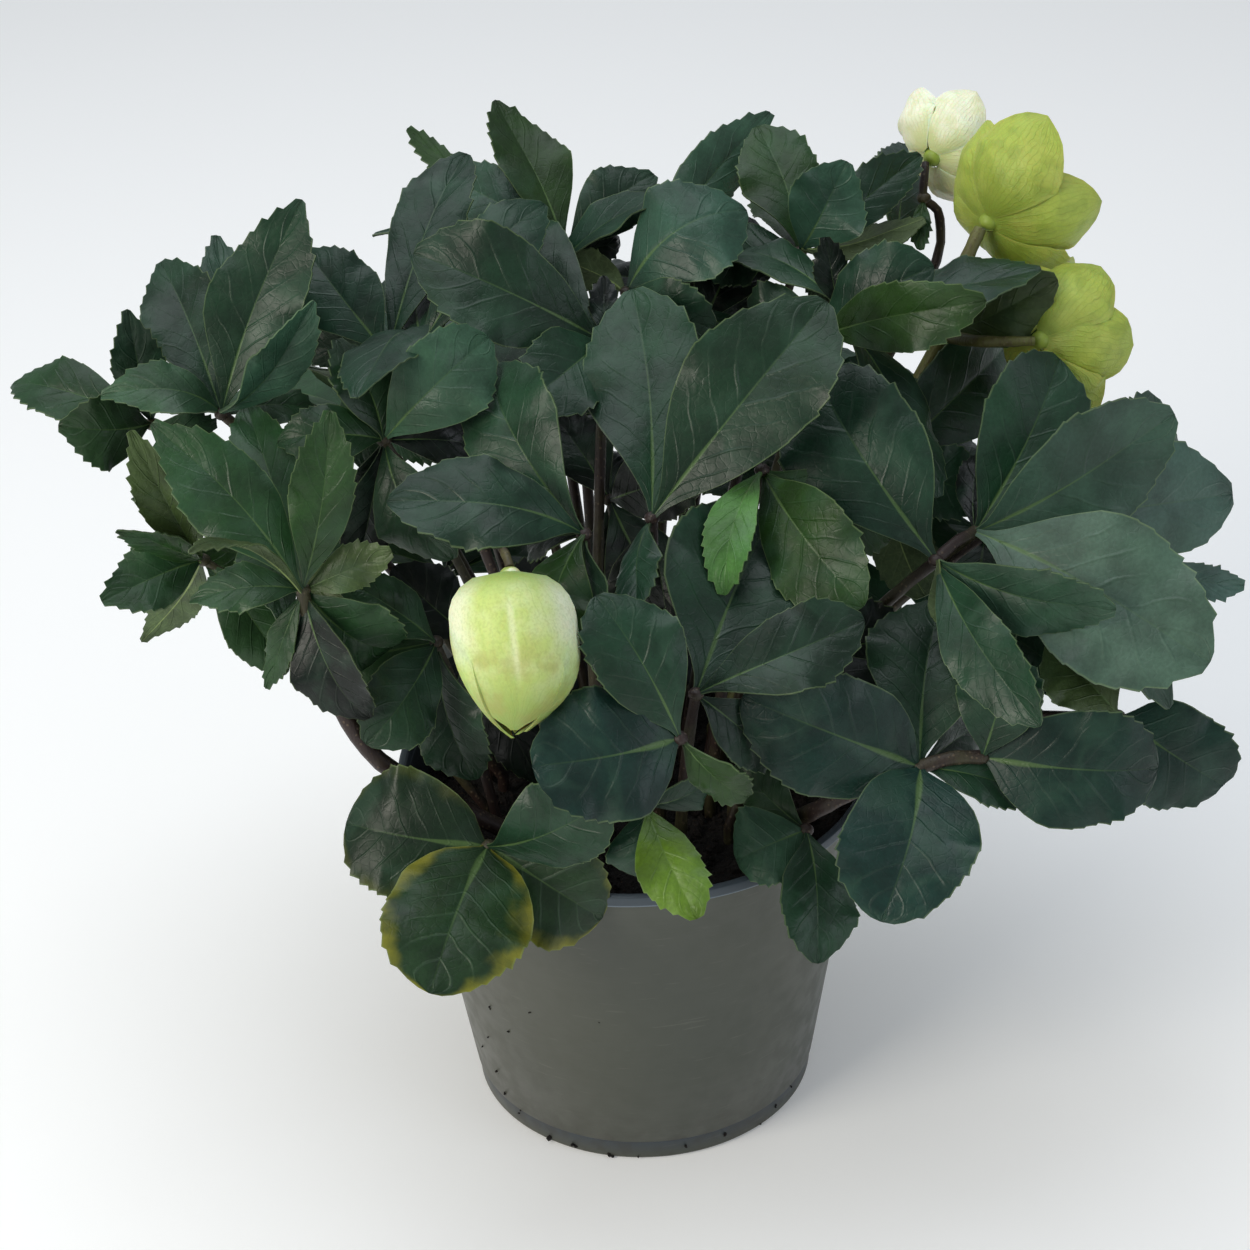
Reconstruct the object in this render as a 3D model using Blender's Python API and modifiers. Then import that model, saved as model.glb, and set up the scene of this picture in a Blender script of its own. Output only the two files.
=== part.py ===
"""Hellebore in its nursery pot: one named solid for the pot, the soil, each leaf with its stalk,
each bloom and each flower stem. Sizes below are millimetres; +Z is up, the pot stands on Z = 0."""

import math
import random

import bmesh
import bpy
import numpy as np
from mathutils import Matrix, Vector
from mathutils.bvhtree import BVHTree

MM = 0.001

# Pot
POT_HEIGHT = 134.0
POT_TOP_RADIUS = 83.0
POT_FOOT_RADIUS = 63.0
POT_WALL = 1.3
POT_FLOOR = 2.0
LIP_RADIUS = 85.0
LIP_HEIGHT = 4.0
STEP_HEIGHT = 9.0
STEP_DEPTH = 0.8
POT_SIDES = 32
DRAIN_COUNT = 8
DRAIN_RADIUS = 5.0
DRAIN_RING = 44.0

# Soil
SOIL_TOP = 117.0
SOIL_LUMP = 2.2
SOIL_GAP = 0.4
SOIL_RINGS = (24, 52)
SOIL_SIDES = 16
STEM_SINK = 9.0
HOLE_GAP = 0.5
HOLE_SIDES = 5

# Leaves: blades, stalks and the forks where leaflets meet
BLADE_THICK = 0.8
CLEARANCE = 0.55
FLAT_ANGLE = 1.0
WAVE_HEIGHT = 0.9
WAVE_TURNS = 9.0
WAVE_OFFSET = 1.3
HUB_RADIUS = 3.7
STAGGER = 1.15
THICK_STALK = 2.4
STALK_FOOT = 1.12
STALK_TAPER = 0.30
STALK_BENDS = 3
NECK_RISE = 6.0
KNEE_SHARE = 0.4
KNEE_LIFT = 0.22
FORK_LIFT = 1.5

# Outlines from base point to tip: where along the blade, share of the half width; steps are teeth
LEAF_SIDE = ((0.25, 0.64), (0.50, 1.02), (0.55, 0.94), (0.78, 0.79), (0.82, 0.60))
BACK_SIDE = ((0.27, 0.66), (0.58, 1.04), (0.64, 0.92), (0.85, 0.62))
ROUND_SIDE = ((0.20, 0.70), (0.48, 1.03), (0.53, 0.97), (0.82, 0.78), (0.87, 0.60))
SEPAL_SIDE = ((0.22, 0.76), (0.52, 1.02), (0.78, 0.84), (0.93, 0.48))
MIDRIB = (0.0, 0.36, 0.70)

# How far a leaflet may be bent clear of its neighbours, and what each change counts
BLADE_SHAPES = ((1.0, 1.0), (0.9, 0.4), (0.8, 1.5))
TIP_SHIFTS = (0, 5, -5, 10, -10, 15, -15, 21, -21, 28, -28, 36, -36, 46, -46)
TURNS = (0, 14, -14)
SHIFT_COST = 0.0008
TURN_COST = 0.0006
SLIM_COST = 0.05
STALK_HIT = 0.3
BLADE_HIT = 1.0
OWN_HIT = 0.006
OWN_HITS = 40
OUTSIDE_COST = 0.5
WORST = 9.0
BLADE_BEADS = 1.5
STALK_BEADS = 2.0

# Where stalks may stand and how they may lean to pass each other
ROOT_LIMIT = 72.0
ROOT_APART = 2.6
STALK_APART = 0.6
ROOT_SHIFTS = [(0.0, 0.0)] + [
    (reach * math.cos(k * math.pi / 3), reach * math.sin(k * math.pi / 3))
    for reach in (6, 11) for k in range(6)
]
BULGES = [(0.0, 0.0)] + [
    (reach * math.cos(k * math.pi / 4), reach * math.sin(k * math.pi / 4))
    for reach in (7, 14, 22, 32) for k in range(8)
]

# How the photograph was taken: picture centre, lens in pixels, distance and angles
PICTURE_MIDDLE = 625.0
LENS_PIXELS = 2873.0
CAMERA_DISTANCE = 1000.0
CAMERA_TILT = math.radians(31.0)
CAMERA_ROLL = math.radians(-2.0)
AIM = Vector((-2.0, 0.0, 189.0))

SEED = 7

# Every leaf in the photograph: name, stalk radius, stalk root on the soil (x, y), points the stalk
# passes, then its forks. A fork is where leaflets meet; each leaflet is
# (tip x, tip y, tip nearness, width, turn of its face, arch, fold, kind).
# Picture points are pixels, nearness is mm towards the camera, turns are degrees.
LEAVES = [
    ("leaf_far_left", 2.0, (-48, 6), [], [
        ((152, 424, 8), [
            (5, 380, -5, 23, 20, 8, 8, "dark"),
            (58, 426, -16, 27, -20, 5, 8, "dark"),
            (100, 446, 22, 13, 30, 3, 10, "young"),
        ]),
    ]),
    ("leaf_left_high", 2.2, (-40, 20), [], [
        ((222, 414, 22), [
            (157, 254, -5, 31, 4, 4, 16, "dark"),
            (303, 203, -20, 34, -6, 5, 16, "dark"),
            (214, 243, -32, 24, 10, 4, 10, "dark"),
            (308, 296, 32, 24, 48, 6, 30, "pale"),
            (105, 398, 40, 21, 42, 12, 12, "pale"),
        ]),
    ]),
    ("leaf_left_low", 1.8, (-54, -12), [], [
        ((203, 560, 18), [
            (106, 602, 32, 25, 12, 6, 12, "dark"),
            (116, 522, 14, 14, -25, 3, 14, "young"),
            (136, 470, -8, 17, 20, 3, 12, "dark"),
            (144, 638, 4, 17, 165, 4, 10, "under"),
        ]),
    ]),
    ("leaf_left_front", 3.0, (-36, -36), [(381, 762, 34), (318, 655, 50)], [
        ((303, 590, 58), [
            (194, 602, 62, 18, 25, 7, 12, "pale"),
            (330, 410, 34, 22, 20, 4, 16, "young"),
            (243, 398, 20, 24, -10, 5, 14, "dark"),
            (154, 430, 36, 30, 15, 8, 12, "dark"),
            (396, 652, 86, 33, 6, 7, 10, "dark"),
            (270, 685, 66, 11, 20, 4, 10, "dark"),
            (324, 645, 52, 11, 20, 3, 10, "dark"),
            (190, 540, 76, 12, 120, 6, 10, "under"),
        ]),
    ]),
    ("leaf_left_under", 1.7, (-48, -30), [], [
        ((436, 642, 26), [
            (367, 748, 46, 27, -8, 7, 10, "dark"),
            (288, 676, 10, 26, 10, 4, 8, "dark"),
            (476, 778, 40, 27, 15, 6, 10, "dark"),
            (335, 575, 0, 22, 10, 5, 10, "dark"),
        ]),
    ]),
    ("leaf_rim_left", 1.8, (-30, -54), [], [
        ((488, 846, 44), [
            (340, 822, 40, 43, 4, 5, 6, "rim"),
            (430, 994, 32, 47, 4, 6, 6, "yellow"),
            (604, 920, 42, 37, 6, 6, 6, "yellow"),
            (612, 796, 74, 31, 18, 5, 8, "dark"),
        ]),
    ]),
    ("leaf_rim_middle", 1.7, (6, -52), [], [
        ((646, 806, 62), [
            (638, 884, 62, 20, 20, 4, 10, "dark"),
            (697, 919, 64, 21, -6, 5, 12, "fresh"),
            (720, 770, 60, 15, 30, 3, 10, "dark"),
        ]),
    ]),
    ("leaf_front_low", 1.9, (0, -40), [], [
        ((680, 738, 86), [
            (536, 766, 96, 43, 4, 6, 8, "round"),
            (596, 594, 50, 31, -6, 6, 10, "dark"),
            (749, 800, 82, 17, 25, 4, 14, "young"),
        ]),
    ]),
    ("leaf_front_right", 2.1, (14, -46), [], [
        ((696, 694, 72), [
            (774, 510, 34, 55, 4, 6, 14, "dark"),
            (862, 624, 64, 29, -24, 6, 12, "dark"),
            (766, 756, 84, 22, -20, 5, 10, "dark"),
        ]),
    ]),
    ("leaf_rim_right", 2.0, (38, -42), [], [
        ((806, 830, 30), [
            (732, 862, 36, 28, 14, 5, 8, "pale"),
            (814, 960, 44, 28, -6, 7, 10, "dark"),
            (744, 770, 40, 17, 15, 4, 10, "young"),
        ]),
    ]),
    ("leaf_right_low", 3.0, (50, -30), [(812, 812, 26), (860, 788, 40)], [
        ((920, 767, 50), [
            (742, 698, 56, 41, -6, 6, 8, "round"),
            (882, 922, 66, 43, 4, 7, 8, "round"),
            (942, 600, 26, 40, -8, 6, 14, "dark"),
        ]),
        ((982, 757, 50), [
            (1164, 770, 54, 39, 8, 7, 8, "round"),
            (1012, 652, 24, 28, -10, 5, 12, "dark"),
        ]),
    ]),
    ("leaf_far_right_low", 1.8, (60, 0), [], [
        ((1118, 716, 4), [
            (1222, 784, -4, 37, 8, 6, 8, "round"),
            (1050, 646, 4, 30, 15, 4, 12, "under"),
            (1162, 706, 14, 16, 70, 5, 12, "pale"),
        ]),
    ]),
    ("leaf_right_big", 2.4, (44, 8), [], [
        ((975, 532, 26), [
            (1060, 358, -12, 40, 4, 6, 12, "dark"),
            (1168, 412, -8, 42, 22, 6, 8, "dark"),
            (1236, 494, 14, 43, 4, 7, 8, "dark"),
            (1208, 664, 34, 54, 4, 8, 8, "dark"),
        ]),
        ((936, 560, 40), [
            (812, 370, 26, 48, -4, 7, 14, "dark"),
            (1116, 606, 66, 24, 30, 6, 12, "pale"),
            (1040, 726, 52, 24, 10, 6, 12, "dark"),
            (978, 648, 46, 15, 150, 4, 10, "under"),
        ]),
    ]),
    ("leaf_right_edge", 1.8, (60, 18), [], [
        ((1120, 560, -20), [
            (1247, 586, -24, 12, 10, 4, 8, "dark"),
            (1190, 470, -40, 30, 10, 6, 10, "dark"),
            (1150, 400, -44, 30, 0, 6, 10, "dark"),
        ]),
    ]),
    ("leaf_middle_high", 2.2, (8, -20), [], [
        ((652, 518, 44), [
            (634, 298, 6, 42, -4, 5, 12, "dark"),
            (826, 302, 12, 46, 4, 6, 12, "dark"),
            (644, 612, 70, 17, 30, 4, 12, "dark"),
        ]),
    ]),
    ("leaf_middle_left", 2.2, (-12, -28), [], [
        ((584, 534, 60), [
            (394, 508, 72, 35, 16, 14, 12, "dark"),
            (486, 362, 34, 37, -10, 8, 14, "dark"),
            (618, 664, 66, 18, 30, 5, 10, "dark"),
            (546, 650, 44, 24, 20, 5, 10, "young"),
        ]),
    ]),
    ("leaf_middle_right", 1.9, (26, -12), [], [
        ((762, 470, 40), [
            (892, 540, 30, 25, -20, 5, 14, "young"),
            (722, 594, 66, 17, 20, 6, 16, "bright"),
            (864, 606, 44, 33, 6, 7, 12, "young"),
        ]),
    ]),
    ("leaf_right_inner", 1.8, (34, -14), [], [
        ((880, 470, 0), [
            (924, 600, 16, 24, 160, 5, 10, "under"),
            (1018, 336, -30, 36, 6, 5, 10, "dark"),
            (872, 352, -34, 32, 6, 5, 10, "dark"),
            (978, 500, -6, 26, 6, 5, 10, "dark"),
        ]),
    ]),
    ("leaf_upper_left_big", 2.1, (-14, 4), [], [
        ((604, 342, 0), [
            (412, 252, 16, 38, 10, 11, 10, "dark"),
            (520, 410, 28, 30, 20, 8, 10, "dark"),
            (492, 208, -44, 26, 8, 6, 10, "dark"),
        ]),
    ]),
    ("leaf_left_tall", 2.0, (-26, 8), [], [
        ((388, 356, 4), [
            (466, 148, -30, 27, -16, 5, 14, "dark"),
            (304, 248, -8, 31, 8, 6, 12, "dark"),
            (360, 470, 30, 24, 20, 6, 10, "dark"),
        ]),
    ]),
    ("leaf_left_inner", 1.9, (-28, -10), [], [
        ((384, 440, 32), [
            (494, 332, 40, 31, 20, 14, 12, "pale"),
            (274, 440, 44, 24, 20, 6, 10, "dark"),
            (452, 560, 40, 26, 10, 8, 10, "dark"),
            (336, 346, 4, 26, 14, 5, 12, "dark"),
        ]),
    ]),
    ("leaf_top_left", 2.0, (-10, 24), [], [
        ((566, 250, -40), [
            (450, 182, -30, 28, 24, 8, 10, "pale"),
            (494, 108, -44, 27, 8, 4, 14, "young"),
            (408, 130, -66, 11, 8, 4, 10, "young"),
            (655, 172, -58, 25, -6, 4, 10, "dark"),
        ]),
    ]),
    ("leaf_top_middle", 2.0, (4, 20), [], [
        ((627, 292, -14), [
            (750, 204, -2, 42, -22, 12, -8, "pale"),
            (772, 110, -66, 22, 0, 4, 10, "pale"),
            (566, 262, 8, 15, 150, 4, 10, "under"),
            (716, 330, 4, 26, 20, 7, 10, "dark"),
        ]),
    ]),
    ("leaf_top_right", 2.0, (18, 22), [], [
        ((800, 252, -30), [
            (758, 134, -50, 30, 10, 6, 12, "young"),
            (844, 164, -62, 30, 8, 5, 12, "pale"),
            (714, 274, -8, 25, 30, 8, 12, "dark"),
            (920, 214, -40, 17, 140, 6, 12, "under"),
        ]),
    ]),
    ("leaf_high_right", 2.1, (26, 8), [], [
        ((822, 336, -6), [
            (934, 266, -16, 34, -20, 9, 12, "dark"),
            (982, 302, 8, 24, 25, 8, 14, "young"),
            (740, 330, -8, 32, 10, 7, 10, "dark"),
        ]),
        ((893, 258, -37), [
            (906, 137, -54, 24, 6, 3, 14, "dark"),
        ]),
    ]),
    ("leaf_inner_left", 1.8, (-18, -14), [], [
        ((474, 640, -6), [
            (398, 572, -18, 26, 6, 5, 10, "inner"),
            (430, 760, 14, 24, 10, 5, 10, "inner"),
            (540, 775, 24, 28, 10, 5, 10, "inner"),
            (556, 560, -10, 26, 6, 5, 10, "inner"),
        ]),
    ]),
    ("leaf_inner_middle", 1.8, (4, -6), [], [
        ((610, 500, -16), [
            (556, 420, -30, 24, 6, 5, 10, "inner"),
            (700, 640, 10, 30, 6, 5, 10, "inner"),
            (600, 640, 10, 26, 6, 5, 10, "inner"),
            (706, 470, -24, 26, 6, 5, 10, "inner"),
        ]),
    ]),
    ("leaf_inner_right", 1.8, (32, -30), [], [
        ((816, 650, 4), [
            (908, 640, 6, 32, 6, 5, 10, "inner"),
            (866, 744, 14, 30, 6, 5, 10, "inner"),
            (760, 600, -4, 26, 6, 5, 10, "inner"),
        ]),
    ]),
    ("leaf_inner_top", 1.8, (12, 8), [], [
        ((700, 330, -48), [
            (650, 232, -60, 26, 6, 5, 10, "inner"),
            (750, 210, -66, 30, 6, 5, 10, "inner"),
            (620, 400, -30, 26, 6, 5, 10, "inner"),
        ]),
    ]),
]

# Leaves at the back and inside, placed by rule: forks lie on rings seen from above
BACK_RINGS = [
    # leaves, ring radius, fork height, first and last direction, leaflet length, root radius
    (6, 126.0, 212.0, 12.0, 168.0, 84.0, 54.0),
    (4, 90.0, 272.0, 33.0, 150.0, 80.0, 36.0),
    (2, 108.0, 170.0, 50.0, 130.0, 70.0, 64.0),
]
# The plant's outline in the photograph, which leaves placed by rule stay inside
OUTLINE = [
    (4, 372), (110, 352), (150, 250), (215, 232), (302, 195), (322, 240), (385, 235), (440, 150),
    (500, 108), (545, 145), (578, 215), (605, 165), (655, 165), (700, 140), (768, 105), (862, 180),
    (905, 130), (965, 82), (1015, 110), (1085, 200), (1130, 300), (1170, 405), (1242, 490),
    (1222, 660), (1232, 780), (1160, 812), (985, 830), (965, 905), (880, 925), (815, 962), (600, 905),
    (430, 998), (338, 860), (360, 740), (275, 690), (195, 630), (106, 615), (106, 510), (135, 462),
    (15, 402),
]
BACK_SPREAD = (0.0, 52.0, -52.0, 104.0, -104.0)
BACK_STALK = 2.0
BACK_ROOT_SHIFT = 6.0
BACK_FOLD = 10.0
BACK_HEADING_SWAY = 4.0
BACK_RADIUS_SWAY = 8.0
BACK_HEIGHT_SWAY = 12.0
BACK_SPREAD_SWAY = 8.0
BACK_SHORTER = 420.0
BACK_LENGTHS = (0.92, 1.06)
BACK_DROPS = (-26.0, 10.0)
BACK_RING_DROP = 4.0
BACK_WIDTHS = (0.42, 0.50)
BACK_ARCHES = (7.0, 13.0)

# Flower stems: name, radius, root, points passed, blooms with the passed point their branch leaves from,
# and leafy bracts with the passed point they stand on, each written like a leaflet
FLOWER_STEMS = [
    ("bud_stem", 1.9, (-20, -40), [(522, 650, 30), (482, 540, 50), (500, 545, 82)], [("bud", 2)], []),
    ("flower_stem_right", 3.0, (30, 34), [(944, 336, -22), (960, 276, -10)],
     [("bloom_large", 1), ("bloom_lower", 0)],
     [(0, (1058, 280, 4, 24, 10, 6, 10, "under")), (0, (1000, 262, -14, 14, 10, 4, 10, "dark"))]),
    ("flower_stem_back", 1.9, (16, 44), [(924, 290, -52), (924, 198, -42)], [("bloom_pale", 1)],
     [(1, (920, 250, -34, 7, 10, 2, 10, "young"))]),
]

# Blooms: name, centre spot, direction it opens to, sepal length, width, opening angle, turn, kind
BLOOMS = [
    ("bloom_pale", (932, 158, -46), (0.60, 0.75, 0.10), 27.0, 24.0, 44.0, 40.0, "cream"),
    ("bloom_large", (988, 222, -11), (0.70, 0.68, 0.25), 40.0, 36.0, 44.0, 5.0, "lime"),
    ("bloom_lower", (1040, 340, 4), (0.60, 0.75, -0.30), 34.0, 32.0, 44.0, 40.0, "lime"),
]
LEAFLET_LAYERS = (0, 1, -1, 1.9, -1.9, 0.5, -0.5, 1.5)
RECEPTACLE_RADIUS = 3.6
STEM_GAP = 0.8
STEM_FOOT = 1.1
STEM_TAPER = 0.35
BRANCH_SHARE = 0.72
BRANCH_KNEE = 0.6
BRANCH_BACK = 12.0

# Sepals of an open bloom: five, lapped in layers
SEPAL_COUNT = 5
SEPAL_LAYERS = (0, 2, 0, 2, 1)
SEPAL_LAYER_TILT = 3.0
SEPAL_LAYER_TIP = 1.4
SEPAL_BASE = 1.2
SEPAL_LAYER_BASE = 1.3
SEPAL_FACE_LEAN = 0.35
SEPAL_ARCH = 0.22
SEPAL_FOLD = -20.0

# The nodding bud: picture points of its top and tip, then its body and lapped sepals
BUD_TOP = (510, 572, 92)
BUD_TIP = (515, 738, 96)
BUD_RADIUS = 22.5
BUD_SIDES = 8
BUD_CORE_INSET = 1.6
BUD_HUB_GAP = 0.8
BUD_PROFILE = ((0.0, 0.20), (0.09, 0.73), (0.27, 1.0), (0.50, 0.95), (0.73, 0.65), (0.90, 0.27))
BUD_SEPALS = ((20, -0.4), (164, -0.4), (308, 0.4), (92, 0.4), (236, 1.1))
BUD_SEPAL_SPAN = 52.0
BUD_SEPAL_COLUMNS = 4
BUD_SEPAL_THICK = 2.4
BUD_SEPAL_TIP = (0.985, 1.2)

COLOURS = {
    "pot_plastic": ("#55574e", 0.45),
    "potting_soil": ("#1c1512", 0.95),
    "leaf_green": ("#2c4034", 0.42),
    "sepal_lime": ("#aebd58", 0.5),
    "sepal_cream": ("#d9dfae", 0.5),
    "stem_olive": ("#56502f", 0.6),
}

rng = random.Random(SEED)


def camera_axes():
    """Right, up and towards-the-camera directions of the photograph."""
    forward = Vector((0.0, math.cos(CAMERA_TILT), -math.sin(CAMERA_TILT)))
    level = Vector((1.0, 0.0, 0.0))
    rise = level.cross(forward)
    turn_cos = math.cos(CAMERA_ROLL)
    turn_sin = math.sin(CAMERA_ROLL)
    right = level * turn_cos + rise * turn_sin
    up = rise * turn_cos - level * turn_sin
    return right, up, -forward


RIGHT, UP, TOWARD = camera_axes()
CAMERA = AIM + TOWARD * CAMERA_DISTANCE


def spot(x, y, near):
    """The place that shows at picture point x, y and lies `near` mm before the aim's plane."""
    ray = RIGHT * ((x - PICTURE_MIDDLE) / LENS_PIXELS) + UP * ((PICTURE_MIDDLE - y) / LENS_PIXELS) - TOWARD
    return CAMERA + ray * (CAMERA_DISTANCE - near)


def picture_point(place):
    """Where a place shows in the photograph, in pixels."""
    offset = place - CAMERA
    depth = -offset.dot(TOWARD)
    x = PICTURE_MIDDLE + LENS_PIXELS * offset.dot(RIGHT) / depth
    y = PICTURE_MIDDLE - LENS_PIXELS * offset.dot(UP) / depth
    return x, y


def inside_outline(place):
    x, y = picture_point(place)
    inside = False
    for (x1, y1), (x2, y2) in zip(OUTLINE, OUTLINE[1:] + OUTLINE[:1]):
        if (y1 > y) != (y2 > y) and x < (x2 - x1) * (y - y1) / (y2 - y1) + x1:
            inside = not inside
    return inside


def linear(channel):
    if channel <= 0.04045:
        return channel / 12.92
    return ((channel + 0.055) / 1.055) ** 2.4


def material(name):
    found = bpy.data.materials.get(name)
    if found:
        return found
    code, roughness = COLOURS[name]
    made = bpy.data.materials.new(name)
    made.use_nodes = True
    shader = made.node_tree.nodes["Principled BSDF"]
    rgb = [linear(int(code[i:i + 2], 16) / 255) for i in (1, 3, 5)]
    shader.inputs["Base Color"].default_value = (*rgb, 1.0)
    shader.inputs["Roughness"].default_value = roughness
    made.diffuse_color = (*rgb, 1.0)
    return made


def clear_scene():
    for obj in list(bpy.data.objects):
        bpy.data.objects.remove(obj, do_unlink=True)
    for group in list(bpy.data.collections):
        bpy.data.collections.remove(group)


def new_collection(name):
    group = bpy.data.collections.new(name)
    bpy.context.scene.collection.children.link(group)
    return group


def add_object(name, mesh, group):
    obj = bpy.data.objects.new(name, mesh)
    group.objects.link(obj)
    return obj


def mesh_of(name, points, faces):
    mesh = bpy.data.meshes.new(name)
    mesh.from_pydata([tuple(p * MM) for p in points], [], faces)
    mesh.update()
    return mesh


def boolean(obj, other, operation, solver="MANIFOLD"):
    cut = obj.modifiers.new(operation.lower(), "BOOLEAN")
    cut.operation = operation
    cut.solver = solver
    if isinstance(other, bpy.types.Collection):
        cut.operand_type = "COLLECTION"
        cut.collection = other
    else:
        cut.object = other
    return cut


def apply_modifiers(obj):
    graph = bpy.context.evaluated_depsgraph_get()
    graph.update()
    mesh = bpy.data.meshes.new_from_object(obj.evaluated_get(graph))
    obj.modifiers.clear()
    old = obj.data
    obj.data = mesh
    bpy.data.meshes.remove(old)


def largest_piece(obj):
    """Keeps the biggest connected piece: loose scrap and the skins of sealed hollows go."""
    bm = bmesh.new()
    bm.from_mesh(obj.data)
    bmesh.ops.remove_doubles(bm, verts=bm.verts, dist=1e-7)
    left = set(bm.verts)
    pieces = []
    while left:
        start = left.pop()
        piece = {start}
        todo = [start]
        while todo:
            vert = todo.pop()
            for edge in vert.link_edges:
                other = edge.other_vert(vert)
                if other in left:
                    left.discard(other)
                    piece.add(other)
                    todo.append(other)
        pieces.append(piece)
    pieces.sort(key=len, reverse=True)
    for piece in pieces[1:]:
        bmesh.ops.delete(bm, geom=list(piece), context="VERTS")
    bmesh.ops.dissolve_limit(bm, angle_limit=math.radians(FLAT_ANGLE), verts=bm.verts, edges=bm.edges)
    bmesh.ops.triangulate(bm, faces=bm.faces)
    bm.to_mesh(obj.data)
    bm.free()


def tube(name, path, radii, group):
    """A stalk: a curve with a round bevel and closed ends, made mesh."""
    curve = bpy.data.curves.new(name, "CURVE")
    curve.dimensions = "3D"
    curve.bevel_depth = MM
    curve.bevel_resolution = 1 if max(radii) > THICK_STALK else 0
    curve.use_fill_caps = True
    line = curve.splines.new("POLY")
    line.points.add(len(path) - 1)
    for point, place, radius in zip(line.points, path, radii):
        point.co = (*(place * MM), 1.0)
        point.radius = radius
    holder = add_object(name, curve, group)
    graph = bpy.context.evaluated_depsgraph_get()
    mesh = bpy.data.meshes.new_from_object(holder.evaluated_get(graph))
    bpy.data.objects.remove(holder, do_unlink=True)
    bm = bmesh.new()
    bm.from_mesh(mesh)
    bmesh.ops.remove_doubles(bm, verts=bm.verts, dist=1e-6)
    bmesh.ops.recalc_face_normals(bm, faces=bm.faces)
    bmesh.ops.triangulate(bm, faces=bm.faces)
    bm.to_mesh(mesh)
    bm.free()
    return add_object(name, mesh, group)


def ball(name, centre, radius, group, axis=Vector((0.0, 0.0, 1.0))):
    """A small faceted knob with a corner on its axis."""
    place = Matrix.Translation(centre * MM) @ axis.to_track_quat("Z", "Y").to_matrix().to_4x4()
    bm = bmesh.new()
    bmesh.ops.create_uvsphere(bm, u_segments=4, v_segments=2, radius=radius * MM, matrix=place)
    mesh = bpy.data.meshes.new(name)
    bm.to_mesh(mesh)
    bm.free()
    return add_object(name, mesh, group)


def strips(names, side):
    """Triangles between the midrib and one edge of a blade, both ending in the tip."""
    found = []
    m = 0
    k = 0
    tip = names[f"m{len(MIDRIB)}"]
    while k < len(side) - 1 or m < len(MIDRIB) - 1:
        middle = names[f"m{m}"]
        edge = names[f"s{k}"]
        next_edge = side[k + 1][0] if k < len(side) - 1 else 2.0
        next_middle = MIDRIB[m + 1] if m < len(MIDRIB) - 1 else 2.0
        if next_edge <= next_middle:
            found.append((middle, edge, names[f"s{k + 1}"]))
            k += 1
        else:
            found.append((middle, edge, names[f"m{m + 1}"]))
            m += 1
    found.append((names[f"m{m}"], names[f"s{k}"], tip))
    return found


class Blade:
    """One leaflet or sepal: a curved surface from a base to a tip, with an upper face."""

    def __init__(self, base, tip, width, face, arch, fold, side, phase):
        self.base = base
        self.tip = tip
        self.width = width
        self.arch = arch
        self.fold = math.radians(fold)
        self.side = side
        self.phase = phase
        chord = (tip - base).normalized()
        self.face = (face - chord * face.dot(chord)).normalized()
        self.bend = (base + tip) / 2 + self.face * (2 * arch)

    def place(self, along, across):
        """A point of the surface: `along` 0 to 1 from base to tip, `across` in mm from the midrib."""
        keep = 1 - along
        centre = self.base * (keep * keep) + self.bend * (2 * keep * along) + self.tip * (along * along)
        run = ((self.bend - self.base) * keep + (self.tip - self.bend) * along).normalized()
        sideways = run.cross(self.face).normalized()
        up = sideways.cross(run)
        share = abs(across) / self.width * 2
        offset = WAVE_OFFSET if across > 0 else 0.0
        wave = WAVE_HEIGHT * share * math.sin(WAVE_TURNS * along + self.phase + offset)
        rise = abs(across) * math.sin(self.fold)
        if self.side is not SEPAL_SIDE:
            rise += wave
        return centre + sideways * (across * math.cos(self.fold)) + up * rise

    def surface(self, grow=0.0):
        names = {}
        points = []
        for i, along in enumerate(MIDRIB):
            names[f"m{i}"] = len(points)
            points.append(self.place(along, 0.0))
        names[f"m{len(MIDRIB)}"] = len(points)
        points.append(self.place(1.0, 0.0))
        faces = []
        for sign in (1, -1):
            for i, (along, share) in enumerate(self.side):
                names[f"s{i}"] = len(points)
                across = share * self.width / 2 + grow
                points.append(self.place(along, sign * across))
            for corner in strips(names, self.side):
                faces.append(tuple(corner if sign > 0 else reversed(corner)))
        return points, faces

    def skin(self, lift):
        """The surface grown by `lift` on both sides, for the check that blades stay apart."""
        points, faces = self.surface(lift)
        normals = [Vector() for _ in points]
        for a, b, c in faces:
            normal = (points[b] - points[a]).cross(points[c] - points[a])
            for corner in (a, b, c):
                normals[corner] += normal
        normals = [n.normalized() if n.length else Vector((0, 0, 1)) for n in normals]
        count = len(points)
        shell = [p + n * lift for p, n in zip(points, normals)]
        shell += [p - n * lift for p, n in zip(points, normals)]
        both = list(faces) + [(c + count, b + count, a + count) for a, b, c in faces]
        rim = {}
        for face in faces:
            for start, end in zip(face, face[1:] + face[:1]):
                if (end, start) in rim:
                    rim.pop((end, start))
                else:
                    rim[(start, end)] = True
        for start, end in rim:
            both.append((end, start, start + count))
            both.append((end, start + count, end + count))
        return shell, both

    def build(self, name, group):
        points, faces = self.surface()
        obj = add_object(name, mesh_of(name, points, faces), group)
        shell = obj.modifiers.new("thickness", "SOLIDIFY")
        shell.thickness = BLADE_THICK * MM
        shell.offset = 0.0
        return obj


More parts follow.
